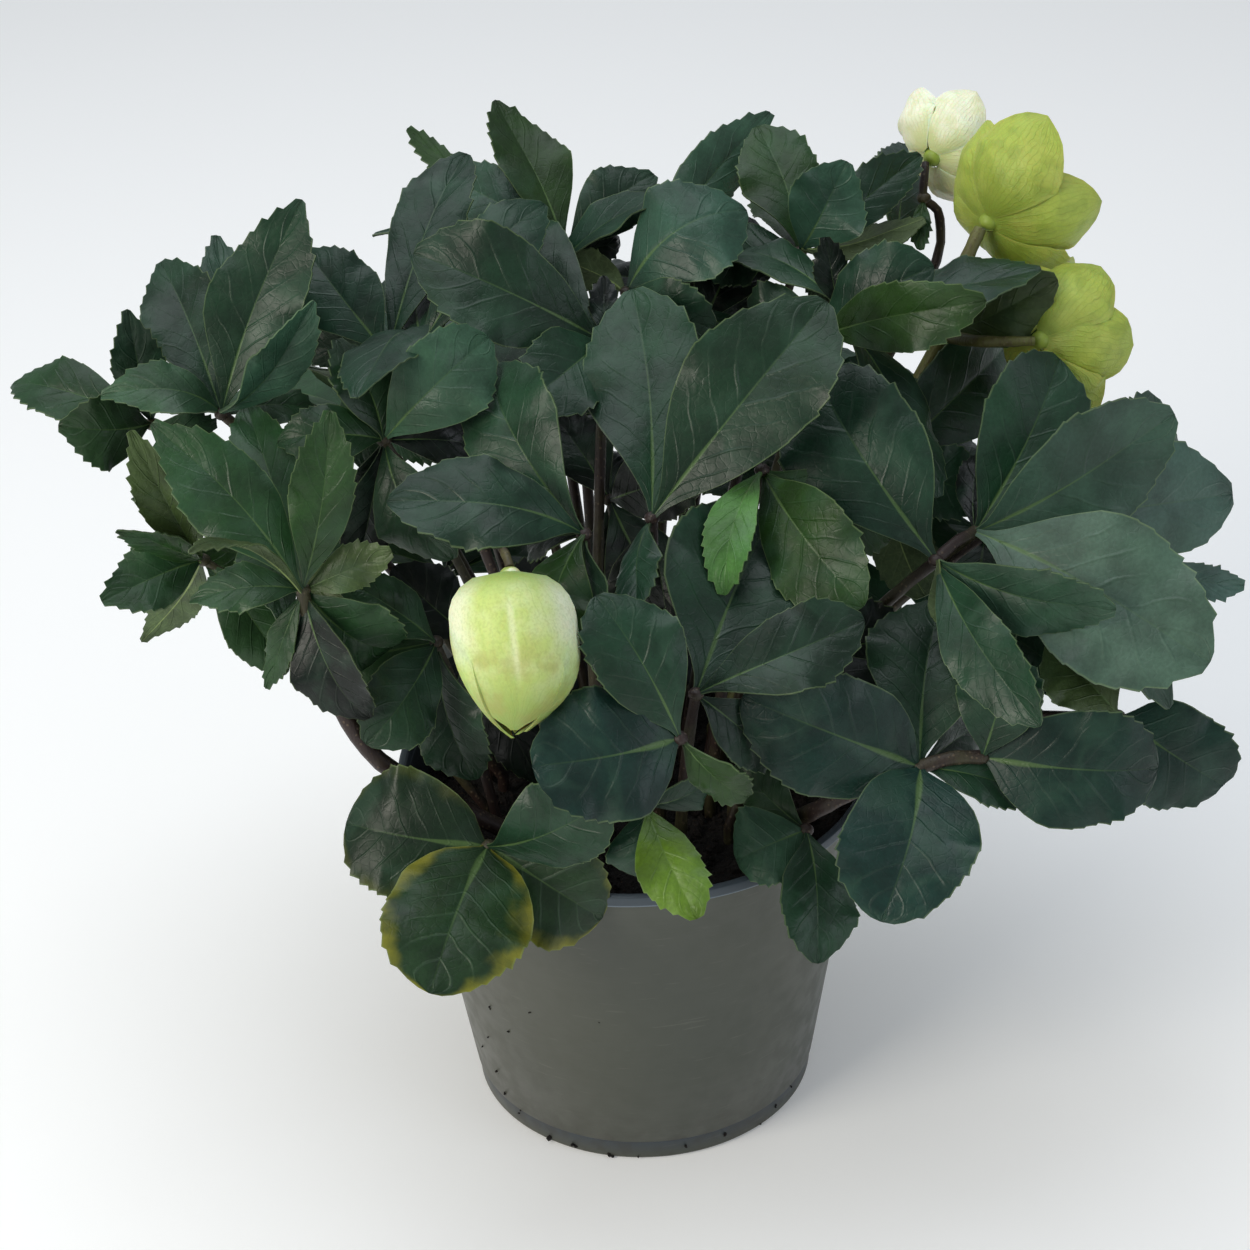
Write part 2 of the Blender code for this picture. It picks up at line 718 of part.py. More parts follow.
class Placed:
    """Everything set so far: blades as search trees, stalks as rows of small spheres."""

    def __init__(self):
        self.blades = []
        self.owners = []
        self.beads = np.zeros((0, 4))
        self.bead_owner = np.zeros(0, int)

    def number(self, owner):
        if owner not in self.owners:
            self.owners.append(owner)
        return self.owners.index(owner)

    def add_blade(self, owner, blade):
        self.add_skin(owner, *blade.skin(BLADE_THICK / 2))

    def add_skin(self, owner, points, faces):
        corners = np.array(points)
        self.blades.append((owner, corners.min(axis=0), corners.max(axis=0), BVHTree.FromPolygons(points, faces)))

    def add_stalk(self, owner, path, radii):
        beads = stalk_beads(path, radii, BLADE_BEADS)
        self.beads = np.concatenate([self.beads, beads])
        self.bead_owner = np.concatenate([self.bead_owner, np.full(len(beads), self.number(owner))])

    def blade_trouble(self, owner, blade, stop_at=WORST):
        """How many other things the blade would touch; its own leaf counts a little."""
        points, faces = blade.skin(BLADE_THICK / 2 + CLEARANCE)
        corners = np.array(points)
        low = corners.min(axis=0)
        high = corners.max(axis=0)
        tree = BVHTree.FromPolygons(points, faces)
        trouble = 0.0
        reach = self.beads[:, 3:4] + CLEARANCE
        near = np.all((self.beads[:, :3] > low - reach) & (self.beads[:, :3] < high + reach), axis=1)
        near &= self.bead_owner != self.number(owner)
        for bead in self.beads[near]:
            if tree.find_nearest(Vector(bead[:3]), bead[3] + CLEARANCE)[0] is not None:
                trouble += STALK_HIT
                if trouble > stop_at:
                    return trouble
        for other, other_low, other_high, other_tree in self.blades:
            if np.any(low > other_high) or np.any(high < other_low):
                continue
            hits = len(tree.overlap(other_tree))
            if hits:
                trouble += BLADE_HIT if other != owner else OWN_HIT * min(hits, OWN_HITS)
                if trouble > stop_at:
                    return trouble
        return trouble

    def stalk_trouble(self, owner, path, radii):
        beads = stalk_beads(path, radii, STALK_BEADS)
        others = self.beads[self.bead_owner != self.number(owner)]
        trouble = 0
        if len(others):
            apart = np.linalg.norm(beads[:, None, :3] - others[None, :, :3], axis=2)
            trouble += int((apart < beads[:, 3:4] + others[None, :, 3] + CLEARANCE + STALK_APART).sum())
        for other, low, high, tree in self.blades:
            reach = beads[:, 3:4] + CLEARANCE
            near = np.all((beads[:, :3] > low - reach) & (beads[:, :3] < high + reach), axis=1)
            for bead in beads[near]:
                if other != owner and tree.find_nearest(Vector(bead[:3]), bead[3] + CLEARANCE)[0] is not None:
                    trouble += 1
        return trouble


def stalk_beads(path, radii, step):
    """Spheres along a stalk: x, y, z and radius."""
    beads = []
    for start, end, first, last in zip(path, path[1:], radii, radii[1:]):
        count = max(1, int((end - start).length / step))
        for i in range(count + 1):
            share = i / count
            beads.append((*start.lerp(end, share), first + (last - first) * share))
    return np.array(beads)


def curve_points(points, steps):
    """A smooth path through the points, `steps` pieces between each two."""
    path = [points[0]]
    for i in range(len(points) - 1):
        before = points[max(i - 1, 0)]
        start = points[i]
        end = points[i + 1]
        after = points[min(i + 2, len(points) - 1)]
        for step in range(1, steps + 1):
            t = step / steps
            path.append((
                start * 2
                + (end - before) * t
                + (before * 2 - start * 5 + end * 4 - after) * (t * t)
                + (start * 3 - before - end * 3 + after) * (t * t * t)
            ) * 0.5)
    return path


def stalk_path(root, passed, end, bulge):
    """From its hole in the soil straight up a little, then out to the fork."""
    foot = Vector((root[0], root[1], SOIL_TOP - STEM_SINK))
    neck = Vector((root[0], root[1], SOIL_TOP + NECK_RISE))
    if passed:
        path = curve_points([neck] + passed + [end], 2)
    else:
        lift = end.z - neck.z
        knee = neck.lerp(end, KNEE_SHARE) + Vector((0, 0, KNEE_LIFT * lift)) + bulge
        path = []
        for step in range(STALK_BENDS + 1):
            t = step / STALK_BENDS
            path.append(neck * ((1 - t) ** 2) + knee * (2 * t * (1 - t)) + end * (t * t))
    return [foot] + path


def pot_skin():
    """The pot's wall and lip as plain rings, for the check that leaves and stalks stay off it."""
    rings = (
        (POT_FOOT_RADIUS, 0.0),
        (wall_radius(POT_HEIGHT - LIP_HEIGHT), POT_HEIGHT - LIP_HEIGHT),
        (LIP_RADIUS, POT_HEIGHT - LIP_HEIGHT),
        (LIP_RADIUS, POT_HEIGHT),
        (POT_TOP_RADIUS - POT_WALL, POT_HEIGHT),
        (wall_radius(SOIL_TOP) - POT_WALL, SOIL_TOP),
    )
    points = []
    faces = []
    for ring, (radius, height) in enumerate(rings):
        for i in range(POT_SIDES):
            heading = 2 * math.pi * i / POT_SIDES
            points.append(Vector((radius * math.cos(heading), radius * math.sin(heading), height)))
            if ring:
                a = (ring - 1) * POT_SIDES + i
                b = (ring - 1) * POT_SIDES + (i + 1) % POT_SIDES
                faces.append((a, b, b + POT_SIDES))
                faces.append((a, b + POT_SIDES, a + POT_SIDES))
    return points, faces


def route_stalk(placed, holes, owner, radius, root, passed, end):
    """Finds a root and a bend that keep the stalk clear of everything set so far."""
    best = None
    for move in ROOT_SHIFTS:
        foot = (root[0] + move[0], root[1] + move[1])
        if math.hypot(*foot) > ROOT_LIMIT:
            continue
        room = radius * STALK_FOOT + 2 * HOLE_GAP + ROOT_APART
        if any(math.hypot(foot[0] - x, foot[1] - y) < room + other for x, y, other in holes):
            continue
        for bulge in BULGES:
            path = stalk_path(foot, passed, end, Vector((bulge[0], bulge[1], 0)))
            count = len(path) - 1
            radii = [radius * (STALK_FOOT - STALK_TAPER * i / count) for i in range(count + 1)]
            trouble = placed.stalk_trouble(owner, path, radii)
            if best is None or trouble < best[0]:
                best = (trouble, path, radii, foot)
            if trouble == 0 or passed:
                break
        if best[0] == 0:
            break
    _, path, radii, foot = best
    placed.add_stalk(owner, path, radii)
    holes.append((*foot, radii[0]))
    return path, radii


def turned(direction, axis, degrees):
    return Matrix.Rotation(math.radians(degrees), 3, axis) @ direction


def fit_blade(placed, owner, make, must):
    """Tries the blade as planned, then bent a little clear; one that stays in the way is left out."""
    best = None
    for slim, bow in BLADE_SHAPES:
        for shift in TIP_SHIFTS:
            for turn in TURNS:
                blade = make(shift, turn, slim, bow)
                trouble = placed.blade_trouble(owner, blade, WORST if best is None else best[0])
                if not must and not all(inside_outline(p) for p in blade.surface()[0]):
                    trouble += OUTSIDE_COST
                cost = trouble + SHIFT_COST * abs(shift) + TURN_COST * abs(turn) + SLIM_COST * (1 - slim)
                if best is None or cost < best[0]:
                    best = (cost, trouble, blade)
                if trouble == 0:
                    break
            if best[1] == 0:
                break
        if best[1] < STALK_HIT:
            break
    if best[1] >= STALK_HIT and not must:
        return None
    placed.add_blade(owner, best[2])
    return best[2]


def side_for(kind):
    if kind == "inner":
        return BACK_SIDE
    return ROUND_SIDE if kind in ("rim", "yellow", "round") else LEAF_SIDE


def picture_leaflet(hub, leaflet, phase, layer=0):
    x, y, near, width, turn, arch, fold, kind = leaflet
    base = hub + TOWARD * (STAGGER * layer)

    def make(shift, extra, slim, bow):
        tip = spot(x, y, near + shift)
        chord = (tip - base).normalized()
        face = TOWARD - chord * TOWARD.dot(chord)
        return Blade(base, tip, width * slim, turned(face, chord, turn + extra), arch * bow, fold,
                     side_for(kind), phase)

    return make


def back_leaflet(hub, tip, width, arch, phase, layer):
    base = hub + Vector((0, 0, STAGGER * layer))

    def make(shift, extra, slim, bow):
        lifted = tip + Vector((0, 0, shift))
        chord = (lifted - base).normalized()
        return Blade(base, lifted, width * slim, turned(Vector((0, 0, 1)), chord, extra), arch * bow, BACK_FOLD,
                     BACK_SIDE, phase)

    return make


def level(heading):
    return Vector((math.cos(heading), math.sin(heading), 0.0))


def back_plan():
    """Forks and leaflets of the leaves that the photograph doesn't show."""
    plan = []
    for ring, (count, radius, height, first, last, length, root_radius) in enumerate(BACK_RINGS):
        for i in range(count):
            step = (last - first) * i / max(count - 1, 1)
            heading = math.radians(first + step + rng.uniform(-BACK_HEADING_SWAY, BACK_HEADING_SWAY))
            out = level(heading)
            reach = radius + rng.uniform(-BACK_RADIUS_SWAY, BACK_RADIUS_SWAY)
            fork = out * reach
            fork.z = height + rng.uniform(-BACK_HEIGHT_SWAY, BACK_HEIGHT_SWAY)
            root = out * root_radius + Vector((0, BACK_ROOT_SHIFT, 0))
            leaflets = []
            for spread in BACK_SPREAD:
                bearing = heading + math.radians(spread + rng.uniform(-BACK_SPREAD_SWAY, BACK_SPREAD_SWAY))
                reach = length * (1.0 - abs(spread) / BACK_SHORTER) * rng.uniform(*BACK_LENGTHS)
                drop = rng.uniform(*BACK_DROPS) - ring * BACK_RING_DROP
                tip = fork + level(bearing) * reach + Vector((0, 0, drop))
                width = reach * rng.uniform(*BACK_WIDTHS)
                leaflets.append((tip, width, rng.uniform(*BACK_ARCHES)))
            plan.append((f"leaf_back_{len(plan) + 1:02d}", BACK_STALK, (root.x, root.y), fork, leaflets))
    return plan


def fuse(name, group, material_name, parts_group):
    """Joins a node's repeats into one body."""
    parts = list(parts_group.objects)
    body = parts[0]
    parts_group.objects.unlink(body)
    group.objects.link(body)
    body.name = name
    body.data.name = name
    if parts[1:]:
        boolean(body, parts_group, "UNION")
        apply_modifiers(body)
    for part in parts[1:]:
        bpy.data.objects.remove(part, do_unlink=True)
    bpy.data.collections.remove(parts_group)
    largest_piece(body)
    body.data.materials.clear()
    body.data.materials.append(material(material_name))
    return body


def smooth(obj):
    for polygon in obj.data.polygons:
        polygon.use_smooth = True
    return obj


def turned_solid(name, profile, group):
    """A closed profile of (radius, height) spun once about the pot's axis."""
    mesh = bpy.data.meshes.new(name)
    points = [(radius * MM, 0.0, height * MM) for radius, height in profile]
    mesh.from_pydata(points, [(i, i + 1) for i in range(len(points) - 1)], [])
    obj = add_object(name, mesh, group)
    spin = obj.modifiers.new("spin", "SCREW")
    spin.steps = POT_SIDES
    spin.render_steps = POT_SIDES
    spin.use_merge_vertices = True
    spin.merge_threshold = 0.00001
    spin.use_normal_calculate = True
    apply_modifiers(obj)
    bm = bmesh.new()
    bm.from_mesh(obj.data)
    bmesh.ops.remove_doubles(bm, verts=bm.verts, dist=1e-6)
    bmesh.ops.recalc_face_normals(bm, faces=bm.faces)
    bm.to_mesh(obj.data)
    bm.free()
    return obj


def wall_radius(height):
    """Outer radius of the pot's wall at this height."""
    share = (height - STEP_HEIGHT) / (POT_HEIGHT - STEP_HEIGHT)
    return POT_FOOT_RADIUS + STEP_DEPTH + (POT_TOP_RADIUS - POT_FOOT_RADIUS - STEP_DEPTH) * share


def build_pot(group, cutters):
    inner_top = POT_TOP_RADIUS - POT_WALL
    inner_foot = wall_radius(POT_FLOOR) - POT_WALL
    profile = [
        (0.0, POT_FLOOR),
        (inner_foot, POT_FLOOR),
        (inner_top, POT_HEIGHT - 0.8),
        (inner_top + 0.8, POT_HEIGHT),
        (LIP_RADIUS, POT_HEIGHT),
        (LIP_RADIUS, POT_HEIGHT - LIP_HEIGHT),
        (wall_radius(POT_HEIGHT - LIP_HEIGHT), POT_HEIGHT - LIP_HEIGHT),
        (wall_radius(STEP_HEIGHT), STEP_HEIGHT),
        (wall_radius(STEP_HEIGHT) - STEP_DEPTH, STEP_HEIGHT - 0.8),
        (POT_FOOT_RADIUS - 1.5, 0.0),
        (0.0, 0.0),
    ]
    pot = turned_solid("pot", profile, group)
    for i in range(DRAIN_COUNT):
        heading = 2 * math.pi * i / DRAIN_COUNT
        place = Vector((DRAIN_RING * math.cos(heading), DRAIN_RING * math.sin(heading), POT_FLOOR / 2)) * MM
        bm = bmesh.new()
        bmesh.ops.create_cone(bm, cap_ends=True, segments=6, radius1=DRAIN_RADIUS * MM,
                              radius2=DRAIN_RADIUS * MM, depth=4 * POT_FLOOR * MM,
                              matrix=Matrix.Translation(place))
        mesh = bpy.data.meshes.new(f"drain_cutter_{i}")
        bm.to_mesh(mesh)
        bm.free()
        add_object(f"drain_cutter_{i}", mesh, cutters)
    boolean(pot, cutters, "DIFFERENCE")
    apply_modifiers(pot)
    for obj in list(cutters.objects):
        bpy.data.objects.remove(obj, do_unlink=True)
    pot.data.materials.append(material("pot_plastic"))
    smooth(pot)
    pot.data.set_sharp_from_angle(angle=math.radians(35))
    return pot


def build_soil(group, cutters, holes):
    """The potting soil: fills the pot, lumpy on top, with a plain hole for each stalk."""
    rings = SOIL_RINGS
    top_radius = wall_radius(SOIL_TOP) - POT_WALL - SOIL_GAP
    foot_radius = wall_radius(POT_FLOOR) - POT_WALL - SOIL_GAP
    sides = SOIL_SIDES
    points = [Vector((0, 0, SOIL_TOP))]
    faces = []
    radii = list(rings) + [top_radius]
    for radius in radii:
        for i in range(sides):
            a = 2 * math.pi * i / sides
            lump = rng.uniform(-SOIL_LUMP, SOIL_LUMP) if radius < top_radius else -1.0
            points.append(Vector((radius * math.cos(a), radius * math.sin(a), SOIL_TOP + lump)))
    foot = POT_FLOOR + SOIL_GAP
    for i in range(sides):
        a = 2 * math.pi * i / sides
        points.append(Vector((foot_radius * math.cos(a), foot_radius * math.sin(a), foot)))
    points.append(Vector((0, 0, foot)))
    last = len(points) - 1
    for i in range(sides):
        j = (i + 1) % sides
        faces.append((0, 1 + i, 1 + j))
        for ring in range(len(radii)):
            a = 1 + ring * sides
            b = a + sides
            faces.append((a + i, b + i, b + j))
            faces.append((a + i, b + j, a + j))
        end = 1 + len(radii) * sides
        faces.append((end + i, last, end + j))
    soil = add_object("soil", mesh_of("soil", points, faces), group)
    for i, (x, y, radius) in enumerate(holes):
        corner = (radius + HOLE_GAP) / math.cos(math.pi / HOLE_SIDES)
        bm = bmesh.new()
        place = Vector((x, y, SOIL_TOP - STEM_SINK - 1.0 + 20.0)) * MM
        bmesh.ops.create_cone(bm, cap_ends=True, segments=HOLE_SIDES, radius1=corner * MM,
                              radius2=corner * MM, depth=40 * MM,
                              matrix=Matrix.Translation(place))
        mesh = bpy.data.meshes.new(f"stalk_hole_{i}")
        bm.to_mesh(mesh)
        bm.free()
        add_object(f"stalk_hole_{i}", mesh, cutters)
    boolean(soil, cutters, "DIFFERENCE")
    apply_modifiers(soil)
    for obj in list(cutters.objects):
        bpy.data.objects.remove(obj, do_unlink=True)
    largest_piece(soil)
    soil.data.materials.append(material("potting_soil"))
    return soil


def bloom_blades(bloom):
    _, place, facing, length, width, opening, first, _ = bloom
    centre = spot(*place)
    facing = Vector(facing).normalized()
    side = facing.orthogonal().normalized()
    blades = []
    for k, layer in enumerate(SEPAL_LAYERS):
        out = turned(side, facing, first + 360 / SEPAL_COUNT * k)
        lean = math.radians(opening + SEPAL_LAYER_TILT * layer)
        reach = out * math.sin(lean) + facing * math.cos(lean)
        tip = centre + reach * length + out * (SEPAL_LAYER_TIP * layer)
        start = centre + out * (SEPAL_BASE + SEPAL_LAYER_BASE * layer)
        face = out - facing * SEPAL_FACE_LEAN
        blades.append(Blade(start, tip, width, face, length * SEPAL_ARCH, SEPAL_FOLD, SEPAL_SIDE, 0.0))
    return centre, facing, blades


def bud_ring_points(top, axis, length, headings, grow):
    """Rows of points round the bud's axis, one row for each station of its profile."""
    side = axis.orthogonal().normalized()
    points = []
    for along, share in BUD_PROFILE:
        for heading in headings:
            out = turned(side, axis, heading)
            points.append(top + axis * (length * along) + out * (BUD_RADIUS * share + grow))
    return points


def build_bud(group, parts):
    """Five sepals wrapped round a closed body, each a little prouder than the last."""
    top = spot(*BUD_TOP)
    tip = spot(*BUD_TIP)
    axis = (tip - top).normalized()
    length = (tip - top).length
    side = axis.orthogonal().normalized()
    rows = len(BUD_PROFILE)
    headings = [360 / BUD_SIDES * k for k in range(BUD_SIDES)]
    points = bud_ring_points(top, axis, length, headings, -BUD_CORE_INSET)
    faces = []
    for row in range(rows - 1):
        for k in range(BUD_SIDES):
            a = row * BUD_SIDES + k
            b = row * BUD_SIDES + (k + 1) % BUD_SIDES
            faces.append((a, a + BUD_SIDES, b + BUD_SIDES, b))
    points.append(top)
    points.append(tip)
    end = (rows - 1) * BUD_SIDES
    for k in range(BUD_SIDES):
        after = (k + 1) % BUD_SIDES
        faces.append((len(points) - 2, k, after))
        faces.append((end + k, len(points) - 1, end + after))
    core = add_object("bud_core", mesh_of("bud_core", points, faces), parts)
    tidy_outward(core)

    columns = BUD_SEPAL_COLUMNS
    for index, (heading, grow) in enumerate(BUD_SEPALS):
        spans = [2 * BUD_SEPAL_SPAN * k / (columns - 1) - BUD_SEPAL_SPAN for k in range(columns)]
        points = bud_ring_points(top, axis, length, [heading + span for span in spans], grow)
        faces = []
        for row in range(rows - 1):
            for k in range(columns - 1):
                a = row * columns + k
                faces.append((a, a + columns, a + columns + 1, a + 1))
        along, out = BUD_SEPAL_TIP
        points.append(top + axis * (length * along) + turned(side, axis, heading) * out)
        end = (rows - 1) * columns
        for k in range(columns - 1):
            faces.append((end + k, len(points) - 1, end + k + 1))
        sepal = add_object(f"bud_sepal_{index}", mesh_of(f"bud_sepal_{index}", points, faces), parts)
        shell = sepal.modifiers.new("thickness", "SOLIDIFY")
        shell.thickness = BUD_SEPAL_THICK * MM
        shell.offset = 0.0
    return fuse("bud", group, "sepal_cream", parts)


def tidy_outward(obj):
    bm = bmesh.new()
    bm.from_mesh(obj.data)
    bmesh.ops.recalc_face_normals(bm, faces=bm.faces)
    bm.to_mesh(obj.data)
    bm.free()


def plan_flowers(placed, holes):
    """Blooms, then their stems: each bloom is (centre, facing, sepals, kind), each stem a dictionary."""
    blooms = {}
    top = spot(*BUD_TOP)
    ends = {"bud": top - (spot(*BUD_TIP) - top).normalized() * (BUD_HUB_GAP + STEM_GAP)}
    for bloom in BLOOMS:
        centre, facing, blades = bloom_blades(bloom)
        for blade in blades:
            placed.add_blade(bloom[0], blade)
        blooms[bloom[0]] = (centre, facing, blades, bloom[-1])
        ends[bloom[0]] = centre - facing * (RECEPTACLE_RADIUS + STEM_GAP)

    stems = []
    for name, radius, root, passed, names, bracts in FLOWER_STEMS:
        passed = [spot(*p) for p in passed]
        stem = {"name": name, "tubes": [], "hubs": [passed[k] for k, _ in bracts[:1]], "blades": []}
        for k, (bloom, fork) in enumerate(names):
            end = ends[bloom]
            share = 1.0
            if k == 0:
                path = stalk_path(root, passed, end, Vector())
            else:
                knee = passed[fork].lerp(end, BRANCH_KNEE) - blooms[bloom][1] * BRANCH_BACK
                path = curve_points([passed[fork], knee, end], 2)
                share = BRANCH_SHARE
            count = len(path) - 1
            radii = [radius * share * (STEM_FOOT - STEM_TAPER * i / count) for i in range(count + 1)]
            stem["tubes"].append((path, radii))
            placed.add_stalk(name, path, radii)
        holes.append((*root, radius * STEM_FOOT))
        for k, bract in bracts:
            make = picture_leaflet(passed[k], bract, rng.uniform(0, math.tau))
            stem["blades"].append(fit_blade(placed, name, make, True))
        stems.append(stem)
    return blooms, stems


def plan_plant():
    """Lays out every stem, bloom, stalk and blade so that none crosses another node."""
    placed = Placed()
    placed.add_skin("pot", *pot_skin())
    holes = []
    blooms, stems = plan_flowers(placed, holes)

    leaves = []
    for name, radius, root, passed, forks in LEAVES:
        end = spot(*forks[0][0])
        path, radii = route_stalk(placed, holes, name, radius, root, [spot(*p) for p in passed], end)
        leaf = {"name": name, "tubes": [(path, radii)], "hubs": [end], "blades": []}
        for place, _ in forks[1:]:
            other = spot(*place)
            branch = [end, end.lerp(other, 0.5) + Vector((0, 0, FORK_LIFT)), other]
            leaf["tubes"].append((branch, [radii[-1]] * 3))
            leaf["hubs"].append(other)
            placed.add_stalk(name, *leaf["tubes"][-1])
        leaves.append(leaf)

    back = back_plan()
    back_leaves = []
    for name, radius, root, fork, _ in back:
        path, radii = route_stalk(placed, holes, name, radius, root, [], fork)
        back_leaves.append({"name": name, "tubes": [(path, radii)], "hubs": [fork], "blades": []})

    for leaf, (name, _, _, _, forks) in zip(leaves, LEAVES):
        for hub, (_, leaflets) in zip(leaf["hubs"], forks):
            for k, leaflet in enumerate(leaflets):
                make = picture_leaflet(hub, leaflet, rng.uniform(0, math.tau), LEAFLET_LAYERS[k])
                blade = fit_blade(placed, name, make, leaflet[-1] != "inner")
                if blade:
                    leaf["blades"].append(blade)
    for leaf, (name, _, _, fork, leaflets) in zip(back_leaves, back):
        for k, (tip, width, arch) in enumerate(leaflets):
            make = back_leaflet(fork, tip, width, arch, rng.uniform(0, math.tau), LEAFLET_LAYERS[k])
            blade = fit_blade(placed, name, make, False)
            if blade:
                leaf["blades"].append(blade)
    return leaves + back_leaves, stems, blooms, holes


def main():
    clear_scene()
    plant = new_collection("hellebore_plant")
    cutters = new_collection("cutters")
    cutters.hide_render = True
    build_pot(plant, cutters)
    leaves, stems, blooms, holes = plan_plant()

    for leaf in leaves + stems:
        parts = new_collection("parts_" + leaf["name"])
        for k, (path, radii) in enumerate(leaf["tubes"]):
            tube(f"stalk_{k}", path, radii, parts)
        for k, hub in enumerate(leaf["hubs"]):
            ball(f"hub_{k}", hub, HUB_RADIUS, parts)
        for k, blade in enumerate(leaf["blades"]):
            blade.build(f"blade_{k}", parts)
        fuse(leaf["name"], plant, "stem_olive" if leaf in stems else "leaf_green", parts)

    for name, (centre, facing, blades, kind) in blooms.items():
        parts = new_collection("parts_" + name)
        ball("hub", centre, RECEPTACLE_RADIUS, parts, facing)
        for k, blade in enumerate(blades):
            blade.build(f"sepal_{k}", parts)
        fuse(name, plant, "sepal_" + kind, parts)

    build_bud(plant, new_collection("parts_bud"))
    build_soil(plant, cutters, holes)
    bpy.data.collections.remove(cutters)


if __name__ == "__main__":
    main()
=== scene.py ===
import functools
import math
import random

import bmesh
import bpy
import numpy as np
from mathutils import Matrix, Vector
from mathutils.bvhtree import BVHTree


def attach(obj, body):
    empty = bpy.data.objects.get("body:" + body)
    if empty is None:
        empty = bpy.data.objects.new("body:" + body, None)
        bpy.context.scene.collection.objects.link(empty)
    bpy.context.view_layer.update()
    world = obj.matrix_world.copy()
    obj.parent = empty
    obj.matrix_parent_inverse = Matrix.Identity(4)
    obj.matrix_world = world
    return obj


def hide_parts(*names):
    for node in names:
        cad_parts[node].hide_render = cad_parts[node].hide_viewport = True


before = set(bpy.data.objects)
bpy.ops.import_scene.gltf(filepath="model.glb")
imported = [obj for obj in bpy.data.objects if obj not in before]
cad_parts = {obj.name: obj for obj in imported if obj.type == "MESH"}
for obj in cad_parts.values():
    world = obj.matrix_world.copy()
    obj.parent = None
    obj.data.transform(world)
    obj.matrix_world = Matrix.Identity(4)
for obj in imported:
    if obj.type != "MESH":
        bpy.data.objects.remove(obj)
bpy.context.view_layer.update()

# Hellebore in its nursery pot, dressed over its solids: every leaf, stalk, bloom and the pot is
# remade finely in the same place, from the same plan of forks and leaf tips as the solids.
# Sizes are millimetres, +Z is up and the pot stands on Z = 0.

bl_info = {
    "name": "Hellebore in a nursery pot",
    "version": (1, 0, 0),
    "blender": (4, 5, 0),
    "location": "View3D > Sidebar > Hellebore",
    "description": "Models a potted hellebore with toothed leaves, lime blooms and a nodding bud",
    "category": "Object",
}

MM = 0.001

# Pot
POT_HEIGHT = 134.0
POT_TOP_RADIUS = 83.0
POT_FOOT_RADIUS = 63.0
POT_WALL = 1.3
POT_FLOOR = 2.0
LIP_RADIUS = 85.0
LIP_HEIGHT = 4.0
STEP_HEIGHT = 9.0
STEP_DEPTH = 0.8
POT_SIDES = 32
DRAIN_COUNT = 8
DRAIN_RADIUS = 5.0
DRAIN_RING = 44.0

# Soil
SOIL_TOP = 117.0
SOIL_LUMP = 2.2
SOIL_GAP = 0.4
SOIL_RINGS = 30
SOIL_SIDES = 96
CRUMB_COUNT = 900
STEM_SINK = 9.0
HOLE_GAP = 0.5

# Leaves: blades, stalks and the forks where leaflets meet
BLADE_THICK = 0.8
CLEARANCE = 0.55
WAVE_HEIGHT = 0.9
WAVE_TURNS = 9.0
WAVE_OFFSET = 1.3
HUB_RADIUS = 3.7
STAGGER = 1.15
STALK_FOOT = 1.12
STALK_TAPER = 0.30
STALK_BENDS = 3
NECK_RISE = 6.0
KNEE_SHARE = 0.4
KNEE_LIFT = 0.22
FORK_LIFT = 1.5

# Outlines from base point to tip: where along the blade, share of the half width; steps are teeth
LEAF_SIDE = ((0.25, 0.64), (0.50, 1.02), (0.55, 0.94), (0.78, 0.79), (0.82, 0.60))
BACK_SIDE = ((0.27, 0.66), (0.58, 1.04), (0.64, 0.92), (0.85, 0.62))
ROUND_SIDE = ((0.20, 0.70), (0.48, 1.03), (0.53, 0.97), (0.82, 0.78), (0.87, 0.60))
SEPAL_SIDE = ((0.22, 0.76), (0.52, 1.02), (0.78, 0.84), (0.93, 0.48))
MIDRIB = (0.0, 0.36, 0.70)

# How far a leaflet may be bent clear of its neighbours, and what each change counts
BLADE_SHAPES = ((1.0, 1.0), (0.9, 0.4), (0.8, 1.5))
TIP_SHIFTS = (0, 5, -5, 10, -10, 15, -15, 21, -21, 28, -28, 36, -36, 46, -46)
TURNS = (0, 14, -14)
SHIFT_COST = 0.0008
TURN_COST = 0.0006
SLIM_COST = 0.05
STALK_HIT = 0.3
BLADE_HIT = 1.0
OWN_HIT = 0.006
OWN_HITS = 40
OUTSIDE_COST = 0.5
WORST = 9.0
BLADE_BEADS = 1.5
STALK_BEADS = 2.0

# Where stalks may stand and how they may lean to pass each other
ROOT_LIMIT = 72.0
ROOT_APART = 2.6
STALK_APART = 0.6
ROOT_SHIFTS = [(0.0, 0.0)] + [
    (reach * math.cos(k * math.pi / 3), reach * math.sin(k * math.pi / 3))
    for reach in (6, 11) for k in range(6)
]
BULGES = [(0.0, 0.0)] + [
    (reach * math.cos(k * math.pi / 4), reach * math.sin(k * math.pi / 4))
    for reach in (7, 14, 22, 32) for k in range(8)
]

# How the photograph was taken: picture centre, lens in pixels, distance and angles
PICTURE_MIDDLE = 625.0
LENS_PIXELS = 2873.0
CAMERA_DISTANCE = 1000.0
CAMERA_TILT = math.radians(31.0)
CAMERA_ROLL = math.radians(-2.0)
AIM = Vector((-2.0, 0.0, 189.0))

SEED = 7

